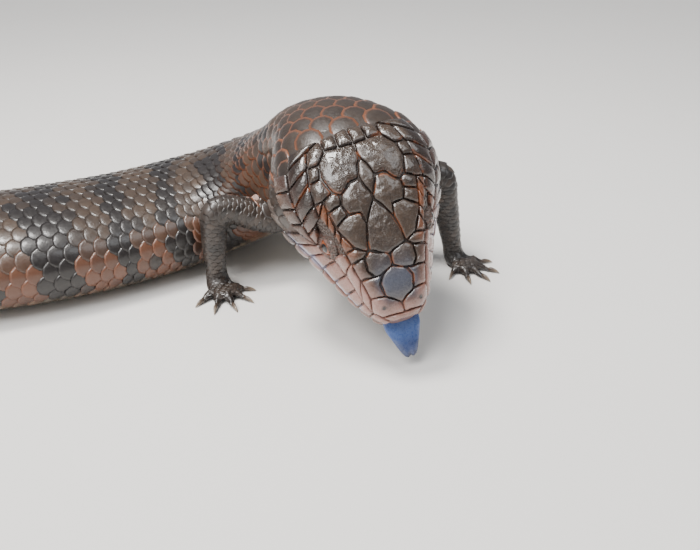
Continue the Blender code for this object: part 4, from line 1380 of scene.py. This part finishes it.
def claws_mesh(name, key):
    """The five curved claws of one hand or foot."""
    lofts, along = [], []
    steps, sides = CLAW_RINGS
    for digit in foot_plan(key)[1]:
        stations, flat_way = digit["stations"], digit["way"]
        tip = stations[-1]
        start = tip + unit(stations[-1] - stations[-2]) * GAP
        ends = np.array([start + flat_way * reach for reach in (-1.1, 0.0, CLAW_LENGTH / 2, CLAW_LENGTH)])
        ends[:, 2] = (tip[2] + 0.05, tip[2] + 0.12, tip[2] - 0.05, CLAW_TIP_HEIGHT)
        rows = np.column_stack([ends, (CLAW_RADIUS * 0.9, CLAW_RADIUS, CLAW_RADIUS * 0.66, 0.10)])
        fine = through(range(4), rows, np.linspace(0, 3, steps))
        ways = unit(np.gradient(fine[:, :3], axis=0))
        lofts.append(cross_rings(fine[:, :3], ways, fine[:, 3] * 0.82, fine[:, 3] * 1.08, UP, sides, 0.03))
        along.append(np.concatenate([np.repeat(np.linspace(0, 1, steps), sides), [0.0, 1.0]]))
    mesh = outward(new_mesh(name, *loft_arrays(lofts)))
    put(mesh, "along", np.concatenate(along))
    return mesh


class Finish(Nodes):
    """A material, with short ways to build its nodes."""

    def __init__(self, name):
        self.made = bpy.data.materials.new(name)
        self.made.use_nodes = True
        super().__init__(self.made.node_tree)
        self.shader = self.tree.nodes["Principled BSDF"]
        self.place = self.node("ShaderNodeTexCoord").outputs["Object"]

    def value(self, name):
        return self.node("ShaderNodeAttribute", attribute_name=name).outputs["Fac"]

    def between(self, source, low, high, start=0.0, end=1.0):
        """Start below low, end above high, smooth between."""
        ends = {"Value": source, "From Min": low, "From Max": high, "To Min": start, "To Max": end}
        return self.node("ShaderNodeMapRange", ends, interpolation_type="SMOOTHSTEP").outputs["Result"]

    def group(self, name, make, **values):
        """What a shared node group gives for these values. The group is made the first time."""
        tree = bpy.data.node_groups.get(name) or make()
        return self.node("ShaderNodeGroup", values, node_tree=tree).outputs[0]

    def mottle(self, scale, contrast):
        return self.group("mottle", mottle_group, Place=self.place, Scale=scale, Contrast=contrast)

    def patchy(self, scale, contrast, low, high, start, end):
        """A value that goes from start to end in soft patches."""
        return self.between(self.mottle(scale, contrast), low, high, start, end)

    def bump(self, height, distance, strength):
        inputs = {"Distance": distance * MM, "Strength": strength, "Height": height}
        self.join(self.node("ShaderNodeBump", inputs).outputs["Normal"], self.shader.inputs["Normal"])

    def grain(self, scale, pits):
        return self.group("fine_grain", grain_group, Place=self.place, Scale=scale, Pits=pits)

    def set(self, **values):
        for title, source in values.items():
            self.join(source, self.shader.inputs[title.replace("_", " ")])


SOCKET_KINDS = {type(None): "NodeSocketVector", float: "NodeSocketFloat", tuple: "NodeSocketColor"}


def new_group(name, output, inputs):
    """A shader group with these inputs and one output: its nodes, what it is given and its last socket."""
    tree = bpy.data.node_groups.new(name, "ShaderNodeTree")
    for title, value in inputs.items():
        socket = tree.interface.new_socket(title, in_out="INPUT", socket_type=SOCKET_KINDS[type(value)])
        if value is not None:
            socket.default_value = value
    kind = "NodeSocketColor" if output == "Colour" else "NodeSocketFloat"
    tree.interface.new_socket(output, in_out="OUTPUT", socket_type=kind)
    nodes = Nodes(tree)
    return nodes, nodes.node("NodeGroupInput").outputs, nodes.node("NodeGroupOutput").inputs[output]


def mottle_group():
    """Soft irregular patches, from 0 to 1."""
    nodes, given, out = new_group("mottle", "Patches", {"Place": None, "Scale": 300.0, "Contrast": 1.0})
    texture = {"Vector": given["Place"], "Scale": given["Scale"], "Detail": 5.0, "Roughness": 0.6}
    patches = nodes.node("ShaderNodeTexNoise", texture).outputs["Fac"]
    centred = nodes.sum("SUBTRACT", patches, 0.5)
    nodes.join(nodes.sum("MULTIPLY_ADD", centred, given["Contrast"], 0.5, clamp=True), out)
    return nodes.tree


def grain_group():
    """Fine pits and ridges for bump: noise with small cells pressed into it."""
    nodes, given, out = new_group("fine_grain", "Height", {"Place": None, "Scale": 1500.0, "Pits": 0.5})
    place = {"Vector": given["Place"], "Scale": given["Scale"]}
    ridges = nodes.node("ShaderNodeTexNoise", {**place, "Detail": 4.0}).outputs["Fac"]
    pits = nodes.node("ShaderNodeTexVoronoi", place).outputs["Distance"]
    nodes.join(nodes.plus(ridges, nodes.times(pits, given["Pits"])), out)
    return nodes.tree


BODY_MASKS = ("Band", "Belly", "Rust", "Rim", "Limb")
BODY_SHADES = ("Ground", "Dark", "Rusty", "Pale", "Leg")


def markings_group():
    """The body's colours from its masks, the same on skin and scales."""
    inputs = dict.fromkeys((*BODY_MASKS, "Tint", "Margin", "Patches"), 0.0)
    inputs |= {title: (*getattr(colours(), title.lower()), 1.0) for title in BODY_SHADES}
    nodes, take, out = new_group("markings", "Colour", inputs)

    def weighed(mask, share):
        return nodes.times(take[mask], share, clamp=True)

    colour = nodes.mixed(weighed("Patches", 0.7), take["Ground"], take["Dark"])
    colour = nodes.mixed(weighed("Rust", 0.65), colour, take["Rusty"])
    colour = nodes.mixed(weighed("Limb", 0.9), colour, take["Leg"])
    colour = nodes.mixed(take["Band"], colour, take["Dark"])
    colour = nodes.mixed(weighed("Belly", 0.85), colour, take["Pale"])
    colour = nodes.mixed(weighed("Tint", 0.45), colour, take["Dark"])
    colour = nodes.mixed(weighed("Margin", 0.3), colour, take["Dark"])
    nodes.join(nodes.mixed(weighed("Margin", take["Rim"]), colour, take["Rusty"]), out)
    return nodes.tree


def body_colour(finish, margin, tint):
    values = {title: finish.value(title.lower()) for title in BODY_MASKS}
    patches = finish.mottle(260.0, 1.6)
    return finish.group("markings", markings_group, Margin=margin, Tint=tint, Patches=patches, **values)


def head_colour(finish, patches):
    """The head's brown crown, pink lips and snout, a painted blue-grey sheen on the snout shields, pale
    cheeks and a painted bluish white highlight along the lip edge.
    """
    shades = colours()
    colour = finish.mixed(patches, shades.crown, shades.crown_dark)
    layers = (
        # painted sheen on top of the snout
        ("blue", 0.75, shades.snout_sheen_blue),
        ("cheek", 0.8, shades.cheek),
        ("temple", 1.0, shades.crown_dark),
        ("pink", 1.0, finish.mixed(patches, shades.lips, shades.snout)),
        ("rust", 0.7, shades.rusty),
        ("below", 1.0, shades.jaw),
        # painted highlight: bluish white along the lip edge
        ("lip", 0.8, shades.lip_edge_highlight),
    )
    for mask, share, shade in layers:
        colour = finish.mixed(finish.times(finish.value(mask), share), colour, shade)
    return colour


def skin_finish():
    """Soft skin between the scales, with painted shade near black in the ear and eye openings, and dark pink
    inside the mouth.
    """
    finish = Finish("skink_skin")
    head = finish.mixed(0.45, head_colour(finish, finish.mottle(300.0, 2.0)), colours().suture)
    colour = finish.mixed(finish.value("head"), body_colour(finish, 0.0, 0.4), head)
    colour = finish.mixed(finish.value("lining"), colour, colours().mouth)
    # painted shade: near black in the ear pits and inside the lids
    colour = finish.mixed(finish.value("hollow"), colour, (0.012, 0.008, 0.007))
    rough = finish.patchy(700.0, 1.5, 0.2, 0.8, 0.42, 0.58)
    finish.set(Base_Color=colour, Roughness=rough, Coat_Weight=0.12, Coat_Roughness=0.25)
    finish.bump(finish.grain(1600.0, 0.7), 0.10, 0.7)
    return finish.made


def shield_finish(name):
    """Hard glossy head shields: mottled, darker and rusty towards their edges."""
    finish = Finish(name)
    tint, inset = finish.value("tint"), finish.value("inset")
    patches = finish.plus(finish.times(finish.mottle(420.0, 2.2), 0.65), finish.times(tint, 0.3))
    near_edge = finish.between(inset, 0.12, 0.75, 0.8, 0.0)
    near_edge = finish.times(near_edge, finish.between(finish.value("pink"), 0.2, 0.9, 1.0, 0.35))
    rusty = finish.patchy(160.0, 3.0, 0.5, 0.85, 0.0, 1.0)
    edge = finish.mixed(rusty, colours().suture, colours().rusty)
    colour = finish.mixed(near_edge, head_colour(finish, patches), edge)
    # painted shade: near black in the nostrils
    colour = finish.mixed(finish.value("hollow"), colour, (0.015, 0.01, 0.01))
    rough = finish.patchy(900.0, 2.0, 0.25, 0.75, 0.17, 0.36)
    finish.set(Base_Color=colour, Roughness=rough, Coat_Weight=0.6, Coat_Roughness=0.10)
    bent = finish.plus(finish.times(inset, 11.0), finish.times(finish.mottle(300.0, 1.0), 22.0))
    lines = finish.times(finish.sum("SINE", bent), finish.times(finish.value("wrinkle"), 0.13))
    finish.bump(finish.plus(finish.grain(1300.0, 0.8), lines), 0.14, 0.8)
    return finish.made


def scale_finish(name, gloss):
    """Smooth glossy body scales in the animal's markings, with their free edges tinted."""
    finish = Finish(name)
    margin = finish.between(finish.value("margin"), 0.72, 1.0)
    throat = finish.mixed(finish.mottle(300.0, 2.0), colours().jaw, colours().cheek)
    colour = finish.mixed(finish.value("head"), body_colour(finish, margin, finish.value("tint")), throat)
    rough = finish.patchy(900.0, 2.0, 0.25, 0.75, 0.42 - 0.2 * gloss, 0.58 - 0.2 * gloss)
    finish.set(Base_Color=colour, Roughness=rough, Coat_Weight=0.35, Coat_Roughness=0.18)
    finish.bump(finish.grain(1500.0, 0.6), 0.07, 0.6)
    return finish.made


def eye_finish():
    """A black pupil, a streaked orange-red iris and a dark rim, under a wet clear front."""
    finish = Finish("skink_eye")
    gaze = finish.value("gaze")
    spread = {"X": finish.times(finish.value("turned"), 14.0), "Y": finish.times(gaze, 0.05)}
    place = finish.node("ShaderNodeCombineXYZ", spread).outputs[0]
    texture = finish.node("ShaderNodeTexNoise", {"Scale": 1.0, "Vector": place}, noise_dimensions="2D")
    streaks = texture.outputs["Fac"]
    iris = finish.mixed(finish.between(streaks, 0.3, 0.7), colours().iris, colours().iris_dark)
    colour = finish.mixed(finish.between(gaze, 19.5, 21.5), (0.004, 0.004, 0.005), iris)
    colour = finish.mixed(finish.between(gaze, 37.0, 43.0), colour, (0.05, 0.025, 0.02))
    finish.set(Base_Color=colour, Roughness=0.18, Coat_Weight=1.0, Coat_Roughness=0.03, IOR=1.38)
    finish.bump(streaks, 0.05, 0.4)
    return finish.made


def tongue_finish():
    """A moist blue tongue, darker towards its tip, covered in tiny soft bumps."""
    finish = Finish("skink_tongue")
    far_out = finish.between(finish.value("out"), 2.0, 10.0)
    shade = finish.mixed(far_out, colours().tongue, colours().tongue_tip)
    shade = finish.mixed(finish.patchy(260.0, 2.0, 0.35, 0.8, 0.0, 0.22), shade, colours().tongue_pale)
    rough = finish.patchy(1200.0, 2.0, 0.25, 0.75, 0.22, 0.42)
    finish.set(Base_Color=shade, Roughness=rough, Coat_Weight=0.6, Coat_Roughness=0.10)
    finish.set(Subsurface_Weight=0.12)
    finish.shader.inputs["Subsurface Radius"].default_value = (0.0012, 0.0010, 0.0020)
    finish.bump(finish.grain(1700.0, 1.0), 0.07, 0.6)
    return finish.made


def claw_finish():
    """Horn, dark at its root and paler and worn towards its tip, with fine streaks."""
    finish = Finish("skink_claw")
    share = finish.between(finish.value("along"), 0.25, 0.95)
    share = finish.plus(share, finish.patchy(1400.0, 2.0, 0.3, 0.8, -0.2, 0.2), clamp=True)
    colour = finish.mixed(share, colours().claw_root, colours().claw_tip)
    rough = finish.patchy(1800.0, 2.0, 0.25, 0.75, 0.28, 0.45)
    finish.set(Base_Color=colour, Roughness=rough, Coat_Weight=0.2, Coat_Roughness=0.2)
    finish.bump(finish.grain(3000.0, 0.3), 0.04, 0.6)
    return finish.made


def floor_finish():
    finish = Finish("pale_floor")
    darker = tuple(0.93 * c for c in colours().floor)
    shade = finish.mixed(finish.patchy(6.0, 1.0, 0.2, 0.8, 0.0, 0.25), colours().floor, darker)
    finish.set(Base_Color=shade, Roughness=finish.patchy(40.0, 1.0, 0.2, 0.8, 0.72, 0.82))
    return finish.made


def size(title, about, value, low, high):
    """A length in metres that shows in the panel."""
    shown = {"name": title, "description": about, "subtype": "DISTANCE", "unit": "LENGTH", "precision": 4}
    return FloatProperty(default=value, min=low, max=high, **shown)


def shade(title, about, value):
    """A colour that shows in the panel."""
    shown = {"name": title, "description": about, "subtype": "COLOR"}
    return FloatVectorProperty(default=value, min=0.0, max=1.0, size=3, **shown)


class SkinkSizes(bpy.types.PropertyGroup):
    """Sizes of the coat."""

    coat_depth: size("Coat depth", "How far the skin lies under the solids' outline", 0.0008, 0.0002, 0.002)
    skin_grain: size("Skin grain", "Edge length of the skin's faces behind the head", 0.0013, 0.001, 0.003)
    shield_grain: size("Shield grain", "Distance between the points of a head shield", 0.00055, 0.0003, 0.002)
    scale_lift: size("Scale lift", "How far a scale's free edge stands over the skin", 0.00115, 0.0003, 0.003)
    limb_lift: size("Limb scale lift", "The same for the scales of the limbs", 0.0007, 0.0002, 0.002)
    trunk_step: size("Trunk ring step", "From one ring of trunk scales to the next", 0.00235, 0.001, 0.006)
    trunk_row: size("Trunk row width", "From one row of trunk scales to the next", 0.0060, 0.002, 0.012)
    limb_step: size("Limb ring step", "From one ring of limb scales to the next", 0.0016, 0.0008, 0.004)
    limb_count: IntProperty(name="Limb rows", description="Scales in a limb's ring", default=8, min=4, max=16)
    seed: IntProperty(name="Seed", description="Start of the uneven sizes and tints", default=21, min=0)


class SkinkColours(bpy.types.PropertyGroup):
    """Colours of the animal."""

    crown: shade("Crown", "Head shields", (0.060, 0.040, 0.027))
    crown_dark: shade("Dark crown", "Darker patches of the head shields and temples", (0.019, 0.012, 0.009))
    # painted sheen: blue-grey tint on top of the snout
    snout_sheen_blue: shade("Blue-grey snout", "Shields on top of the snout", (0.062, 0.072, 0.100))
    snout: shade("Snout", "Brownish pink of the snout", (0.22, 0.105, 0.072))
    lips: shade("Lips", "Pink of the lip shields", (0.40, 0.225, 0.195))
    # painted highlight: the bluish white line along the upper lip's edge
    lip_edge_highlight: shade("Lip edge", "Bluish white edge of the upper lip", (0.40, 0.42, 0.56))
    cheek: shade("Cheek", "Grey-brown of the cheeks", (0.13, 0.098, 0.080))
    jaw: shade("Jaw", "Pale lower jaw and throat", (0.34, 0.275, 0.24))
    suture: shade("Seams", "Skin between the shields", (0.018, 0.011, 0.009))
    ground: shade("Ground", "Brown between the bands", (0.078, 0.048, 0.029))
    dark: shade("Dark", "Dark bands of the back", (0.012, 0.009, 0.008))
    rusty: shade("Rust", "Rusty rims and flanks", (0.185, 0.062, 0.026))
    pale: shade("Pale belly", "Underside", (0.42, 0.34, 0.24))
    leg: shade("Legs", "Grey-brown of the legs", (0.060, 0.043, 0.033))
    mouth: shade("Mouth", "Inside of the mouth", (0.16, 0.06, 0.075))
    iris: shade("Iris", "Orange-red of the eye", (0.32, 0.085, 0.022))
    iris_dark: shade("Dark iris", "Streaks of the iris", (0.16, 0.035, 0.012))
    tongue: shade("Tongue", "Blue of the tongue", (0.060, 0.110, 0.29))
    tongue_tip: shade("Tongue tip", "Darker blue at its tip", (0.012, 0.020, 0.070))
    tongue_pale: shade("Pale tongue", "Paler bumps of the tongue", (0.11, 0.17, 0.38))
    claw_root: shade("Claw root", "Dark root of a claw", (0.055, 0.038, 0.028))
    claw_tip: shade("Claw tip", "Pale tip of a claw", (0.22, 0.165, 0.115))
    floor: shade("Floor", "The plain floor", (0.74, 0.72, 0.69))


CAMERA_PLACE = (0.0, 0.0, 140.0)  # in pose coordinates
CAMERA_DOWN = 30.0
CAMERA_LENS = 34.56
# Lamps: name, place in pose coordinates, side in metres, watts and colour.
LAMPS = (
    ("lamp_above", (-185.0, 250.0, 600.0), 0.16, 5.0, (1.0, 0.98, 0.95)),
    ("lamp_window", (260.0, 90.0, 520.0), 0.30, 1.0, (0.93, 0.97, 1.0)),
    ("lamp_fill", (-420.0, -260.0, 380.0), 0.60, 1.6, (1.0, 0.97, 0.93)),
)
SUN_PLACE = (-260.0, -60.0, 600.0)
SUN_STRENGTH = 3.0
SUN_ANGLE = 28.0
LAMP_AIM = (-5.0, 215.0, 40.0)
FLOOR_HALF = 4.0
WORLD_COLOUR = (0.90, 0.93, 1.0, 1.0)
WORLD_STRENGTH = 0.34


def sizes():
    return bpy.context.scene.skink_sizes


def colours():
    return bpy.context.scene.skink_colours


def in_mm(title):
    """One of the panel's lengths, in millimetres."""
    return getattr(sizes(), title) / MM


def finished(name, mesh, material, nodes=()):
    """Puts a piece in the scene on the animal's one body."""
    if material is not None:
        mesh.materials.clear()
        mesh.materials.append(material)
    made = new_object(name, mesh)
    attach(made, "root")
    if nodes:
        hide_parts(*nodes)
    return made


def skin_and_tree():
    """The skin, a search tree of its faces and how far each face is off the body's own shape."""
    skin = bpy.data.objects["skin"]
    faces = [face.vertices[:] for face in skin.data.polygons]
    tree = BVHTree.FromPolygons([point.co for point in skin.data.vertices], faces)
    return skin, tree, read(skin.data, "off_body")[[face[0] for face in faces]]


def lamp(light, place):
    """Hangs a light at a place, aimed at the animal and hidden from the camera."""
    made = new_object(light.name, light)
    made.visible_camera = False
    made.location = metres(place)
    way = Vector(metres(LAMP_AIM)) - Vector(metres(place))
    made.rotation_euler = way.to_track_quat("-Z", "Y").to_euler()


class SKINK_OT_stage(bpy.types.Operator):
    """Camera at the photo's viewing angle, pale floor and soft lamps"""

    bl_idname = "skink.stage"
    bl_label = "Stage"

    def execute(self, context):
        lens = bpy.data.cameras.new("camera")
        lens.lens = CAMERA_LENS
        lens.clip_start = 0.01
        lens.dof.use_dof = False
        camera = new_object("camera", lens)
        camera.location = metres(CAMERA_PLACE)
        camera.rotation_euler = (np.radians(90.0 - CAMERA_DOWN), 0.0, 0.0)
        context.scene.camera = camera
        half = FLOOR_HALF
        mesh = bpy.data.meshes.new("floor")
        corners = [(-half, -half, 0), (half, -half, 0), (half, half, 0), (-half, half, 0)]
        mesh.from_pydata(corners, [], [(0, 1, 2, 3)])
        mesh.materials.append(floor_finish())
        new_object("floor", mesh)
        for name, place, side, watts, colour in LAMPS:
            light = bpy.data.lights.new(name, "AREA")
            light.shape = "SQUARE"
            light.size = side
            light.energy = watts
            light.color = colour
            lamp(light, place)
        light = bpy.data.lights.new("lamp_sky", "SUN")
        light.energy = SUN_STRENGTH
        light.angle = np.radians(SUN_ANGLE)
        lamp(light, SUN_PLACE)
        world = bpy.data.worlds.new("studio")
        world.use_nodes = True
        back = world.node_tree.nodes["Background"]
        back.inputs["Color"].default_value = WORLD_COLOUR
        back.inputs["Strength"].default_value = WORLD_STRENGTH
        context.scene.world = world
        return {"FINISHED"}


class SKINK_OT_skin(bpy.types.Operator):
    """One skin over head, neck, trunk, tail and limbs"""

    bl_idname = "skink.skin"
    bl_label = "Skin"

    def execute(self, context):
        mesh = build_skin_mesh(in_mm("coat_depth"), sizes().skin_grain)
        s, u = read(mesh, "along"), read(mesh, "around")
        limb = ease(0.8, 2.2, read(mesh, "off_body"))
        masks = markings(read(mesh), s, u, limb)
        arc = np.zeros(len(s))
        on_head = (s < 66) & (limb < 0.5)
        rows = np.clip((s[on_head] / MAP_STEP).astype(int), 0, len(MAP_T) - 1)
        last = len(MAP_U) - 1
        columns = np.clip((np.abs(u[on_head]) * 2 * last).astype(int), 0, last)
        arc[on_head] = MAP_ARC[rows, columns]
        zones = zone_masks(np.clip(s, 0, 80), arc)
        zones["rust"] = np.where(on_head, zones["rust"], masks["rust"])
        put_all(mesh, {**masks, **zones, "head": (1 - ease(54, 60, s)) * (1 - limb)})
        nodes = [*FLESH, *(name for key in LIMBS for name in limb_nodes(key))]
        finished("skin", mesh, skin_finish(), nodes)
        return {"FINISHED"}


class SKINK_OT_head_shields(bpy.types.Operator):
    """The large shields of the head, the lips and the lower jaw"""

    bl_idname = "skink.head_shields"
    bl_label = "Head shields"

    def execute(self, context):
        depth, spacing = in_mm("coat_depth"), in_mm("shield_grain")
        upper = build_shields(False, "head_shields", depth, spacing, 31)
        finished("head_shields", upper, shield_finish("shield_horn"))
        lower = build_shields(True, "jaw_shields", depth, spacing * 1.3, 32)
        finished("jaw_shields", lower, shield_finish("jaw_horn"))
        return {"FINISHED"}


def trunk_step(s):
    return in_mm("trunk_step") * np.interp(s, *STEP_SHARES)


def trunk_row(s):
    return in_mm("trunk_row") * np.interp(s, *ROW_SHARES)


def on_throat(s, u):
    """True where throat and cheeks have small scales, past the shields."""
    clear, arc = off_shields(s, u, 0.45)
    return clear & (arc > np.where(s < 36, np.interp(s, MAP_T, MAP_MOUTH) + 3.0, 24.0))


def on_neck(s, u):
    """True where the neck's large scales begin, behind the head's shields."""
    clear, arc = off_shields(s, u, 0.5)
    return (s > 57.0) | (clear & (arc < 25.0))


# Name, first and last ring behind the snout tip, corners of a scale, and where it grows if not everywhere.
BODY_COATS = (
    ("throat_scales", 5.0, 57.0, 10, on_throat),
    ("neck_scales", 53.2, 164.0, 12, on_neck),
    ("trunk_scales", 164.0, 316.0, 12, None),
    ("tail_scales", 316.0, 541.5, 10, None),
)


class SKINK_OT_body_scales(bpy.types.Operator):
    """Overlapping scales of throat, neck, trunk and tail"""

    bl_idname = "skink.body_scales"
    bl_label = "Body scales"

    def execute(self, context):
        skin, tree, off_body = skin_and_tree()
        finish = scale_finish("body_scale_horn", 0.5)
        for number, (name, start, end, sides, accept) in enumerate(BODY_COATS):
            seeds = on_skin(body_seeds(start, end, accept), tree, 1.9, off_body, most=LIMB_ROOT[1])
            behind = seeds["along"] - EAR_PLACE[0]
            around = (np.abs(from_top(seeds["around"])) - EAR_PLACE[1]) * EAR_GIRTH
            from_ear = np.hypot(behind * np.where(behind < 0, 0.62, 1.1), around)
            seeds = {key: value[from_ear > EAR_CLEAR] for key, value in seeds.items()}
            s, u = seeds["along"], seeds["around"]
            seeds["limb"] = ease(0.1, 0.5, seeds["off"])
            seeds["raise"] = np.interp(s, *LIFT_SHARES)
            masks = markings(seeds["points"], s, u, seeds["limb"])
            masks["head"] = (1 - ease(50, 62, s)) * ease(0.2, 0.3, np.abs(from_top(u)))
            shape = plate(name + "_plate", sides)
            seed = sizes().seed + number
            mesh = grown_scales(name, seeds, shape, skin, finish, in_mm("scale_lift"), seed, masks)
            finished(name, mesh, None)
        return {"FINISHED"}


def lid_seeds(skin):
    """Roots of tiny scales on the eyelids, as close as they fit, lying away from the eye."""
    mesh = skin.data
    points, s, u = read(mesh), read(mesh, "along"), read(mesh, "around")
    found = []
    for side in (1, -1):
        q, distance, across, upward = lid_place(points, side)
        near = np.nonzero((distance < 13) & (q > LID_FIRST) & (q < 3.4) & (s < 45))[0]
        clear, _ = off_shields(s[near], u[near], -0.1)
        near = near[clear]
        near = near[np.argsort(np.round(q[near], 1), kind="stable")]
        taken = np.zeros((0, 3))
        for index in near:
            gap = 0.72 if q[index] < 1.3 else 0.95
            if len(taken) and np.linalg.norm(taken - points[index], axis=1).min() < gap:
                continue
            taken = np.vstack([taken, points[index]])
            place = (0.5 + side * 0.25 + across[index] / 500, 0.5 + upward[index] / 250)
            found.append((index, gap, *place, *eye_middle(side)))
    found = np.array(found)
    index = found[:, 0].astype(int)
    return {
        "points": points[index],
        "lie": unit(points[index] - found[:, 4:7]),
        "length": found[:, 1] * 1.75,
        "width": found[:, 1] * 1.25,
        "root": found[:, 2:4],
        "cell": np.tile([0.012, 0.024], (len(index), 1)),
        "along": s[index],
        "around": u[index],
        "limb": np.zeros(len(index)),
        "raise": 0.20 + 0.1 * found[:, 1],
    }


class SKINK_OT_lid_scales(bpy.types.Operator):
    """Tiny scales round the eyes"""

    bl_idname = "skink.lid_scales"
    bl_label = "Eyelid scales"

    def execute(self, context):
        skin, tree, off_body = skin_and_tree()
        seeds = on_skin(lid_seeds(skin), tree, 0.5, off_body)
        lie, normal = seeds["lie"], seeds["outward"]
        seeds["lie"] = unit(lie - (lie * normal).sum(axis=1)[:, None] * normal + 1e-6)
        masks = markings(seeds["points"], seeds["along"], seeds["around"], seeds["limb"])
        masks["head"] = np.full(len(lie), 0.15)
        masks["rust"] = np.full(len(lie), 0.5)
        shape, finish = plate("lid_plate", 8), scale_finish("lid_scale_horn", 0.4)
        seed = sizes().seed + 20
        mesh = grown_scales("lid_scales", seeds, shape, skin, finish, in_mm("scale_lift"), seed, masks)
        finished("lid_scales", mesh, None)
        return {"FINISHED"}


LIMB_PLACE = 200.0  # limbs take their markings from this place on the back
# Scales in a ring, their width in spacings, and their lift: palm, then digits.
PALM_COAT = {"count": 9, "wide": 1.45, "raised": 0.8}
DIGIT_COAT = {"count": 5, "wide": 1.45, "raised": 0.62}


class SKINK_OT_limb_scales(bpy.types.Operator):
    """Overlapping scales of the legs, hands, feet and digits"""

    bl_idname = "skink.limb_scales"
    bl_label = "Limb scales"

    def execute(self, context):
        skin, tree, off_body = skin_and_tree()
        finish = scale_finish("limb_scale_horn", 0.5)
        depth, step, count = in_mm("coat_depth"), in_mm("limb_step"), sizes().limb_count
        for number, (key, limb) in enumerate(LIMBS.items()):
            palm, digits = foot_plan(key)
            groups = [
                ring_seeds(limb_rings(limb, depth), step, count, wide=1.55, slot=0, raised=1.0),
                ring_seeds(palm_rings(palm, depth), step * 0.9, slot=1, **PALM_COAT),
            ]
            for slot, digit in enumerate(digits, 2):
                rings = digit_rings(digit, depth)
                groups.append(ring_seeds(rings, step * 0.78, slot=slot, first=2, **DIGIT_COAT))
            seeds = on_skin(joined_seeds(groups), tree, 0.9, off_body, least=LIMB_ROOT[0])
            total = len(seeds["along"])
            masks = markings(seeds["points"], np.full(total, LIMB_PLACE), np.zeros(total), seeds["limb"])
            masks["head"] = np.zeros(total)
            name, shape, seed = key + "_scales", plate(key + "_plate", 8), sizes().seed + 10 + number
            mesh = grown_scales(name, seeds, shape, skin, finish, in_mm("limb_lift"), seed, masks)
            finished(name, mesh, None)
        return {"FINISHED"}


class SKINK_OT_eyes(bpy.types.Operator):
    """The eyeballs"""

    bl_idname = "skink.eyes"
    bl_label = "Eyes"

    def execute(self, context):
        finish = eye_finish()
        for side, sign in (("left", 1), ("right", -1)):
            name = "eyeball_" + side
            finished(name, eyeball_mesh(name, sign), finish, ["eye_" + side])
        return {"FINISHED"}


class SKINK_OT_tongue(bpy.types.Operator):
    """The blue tongue"""

    bl_idname = "skink.tongue"
    bl_label = "Tongue"

    def execute(self, context):
        name = "blue_tongue"
        finished(name, tongue_mesh(name), tongue_finish(), ["tongue"])
        return {"FINISHED"}


class SKINK_OT_claws(bpy.types.Operator):
    """Five claws on each hand and foot"""

    bl_idname = "skink.claws"
    bl_label = "Claws"

    def execute(self, context):
        finish = claw_finish()
        for key in LIMBS:
            foot = limb_nodes(key)[2]
            name = "claws_" + foot
            nodes = [f"claw_{foot}_{k}" for k in range(1, 6)]
            finished(name, claws_mesh(name, key), finish, nodes)
        return {"FINISHED"}


STEPS = (
    SKINK_OT_stage, SKINK_OT_skin, SKINK_OT_head_shields, SKINK_OT_body_scales,
    SKINK_OT_lid_scales, SKINK_OT_limb_scales, SKINK_OT_eyes, SKINK_OT_tongue, SKINK_OT_claws,
)


class SKINK_PT_panel(bpy.types.Panel):
    """Sizes, colours and the steps that build the animal"""

    bl_idname = "SKINK_PT_panel"
    bl_label = "Blue-tongued skink"
    bl_space_type = "VIEW_3D"
    bl_region_type = "UI"
    bl_category = "Skink"

    def draw(self, context):
        for values in (context.scene.skink_sizes, context.scene.skink_colours):
            box = self.layout.box()
            for title in values.__annotations__:
                box.prop(values, title)
        for step in STEPS:
            self.layout.operator(step.bl_idname)


CLASSES = (SkinkSizes, SkinkColours, *STEPS, SKINK_PT_panel)


def register():
    for cls in CLASSES:
        bpy.utils.register_class(cls)
    bpy.types.Scene.skink_sizes = PointerProperty(type=SkinkSizes)
    bpy.types.Scene.skink_colours = PointerProperty(type=SkinkColours)


def unregister():
    del bpy.types.Scene.skink_colours
    del bpy.types.Scene.skink_sizes
    for cls in reversed(CLASSES):
        bpy.utils.unregister_class(cls)


def main():
    register()
    for step in STEPS:
        group, name = step.bl_idname.split(".")
        getattr(getattr(bpy.ops, group), name)()


if __name__ == "__main__":
    main()
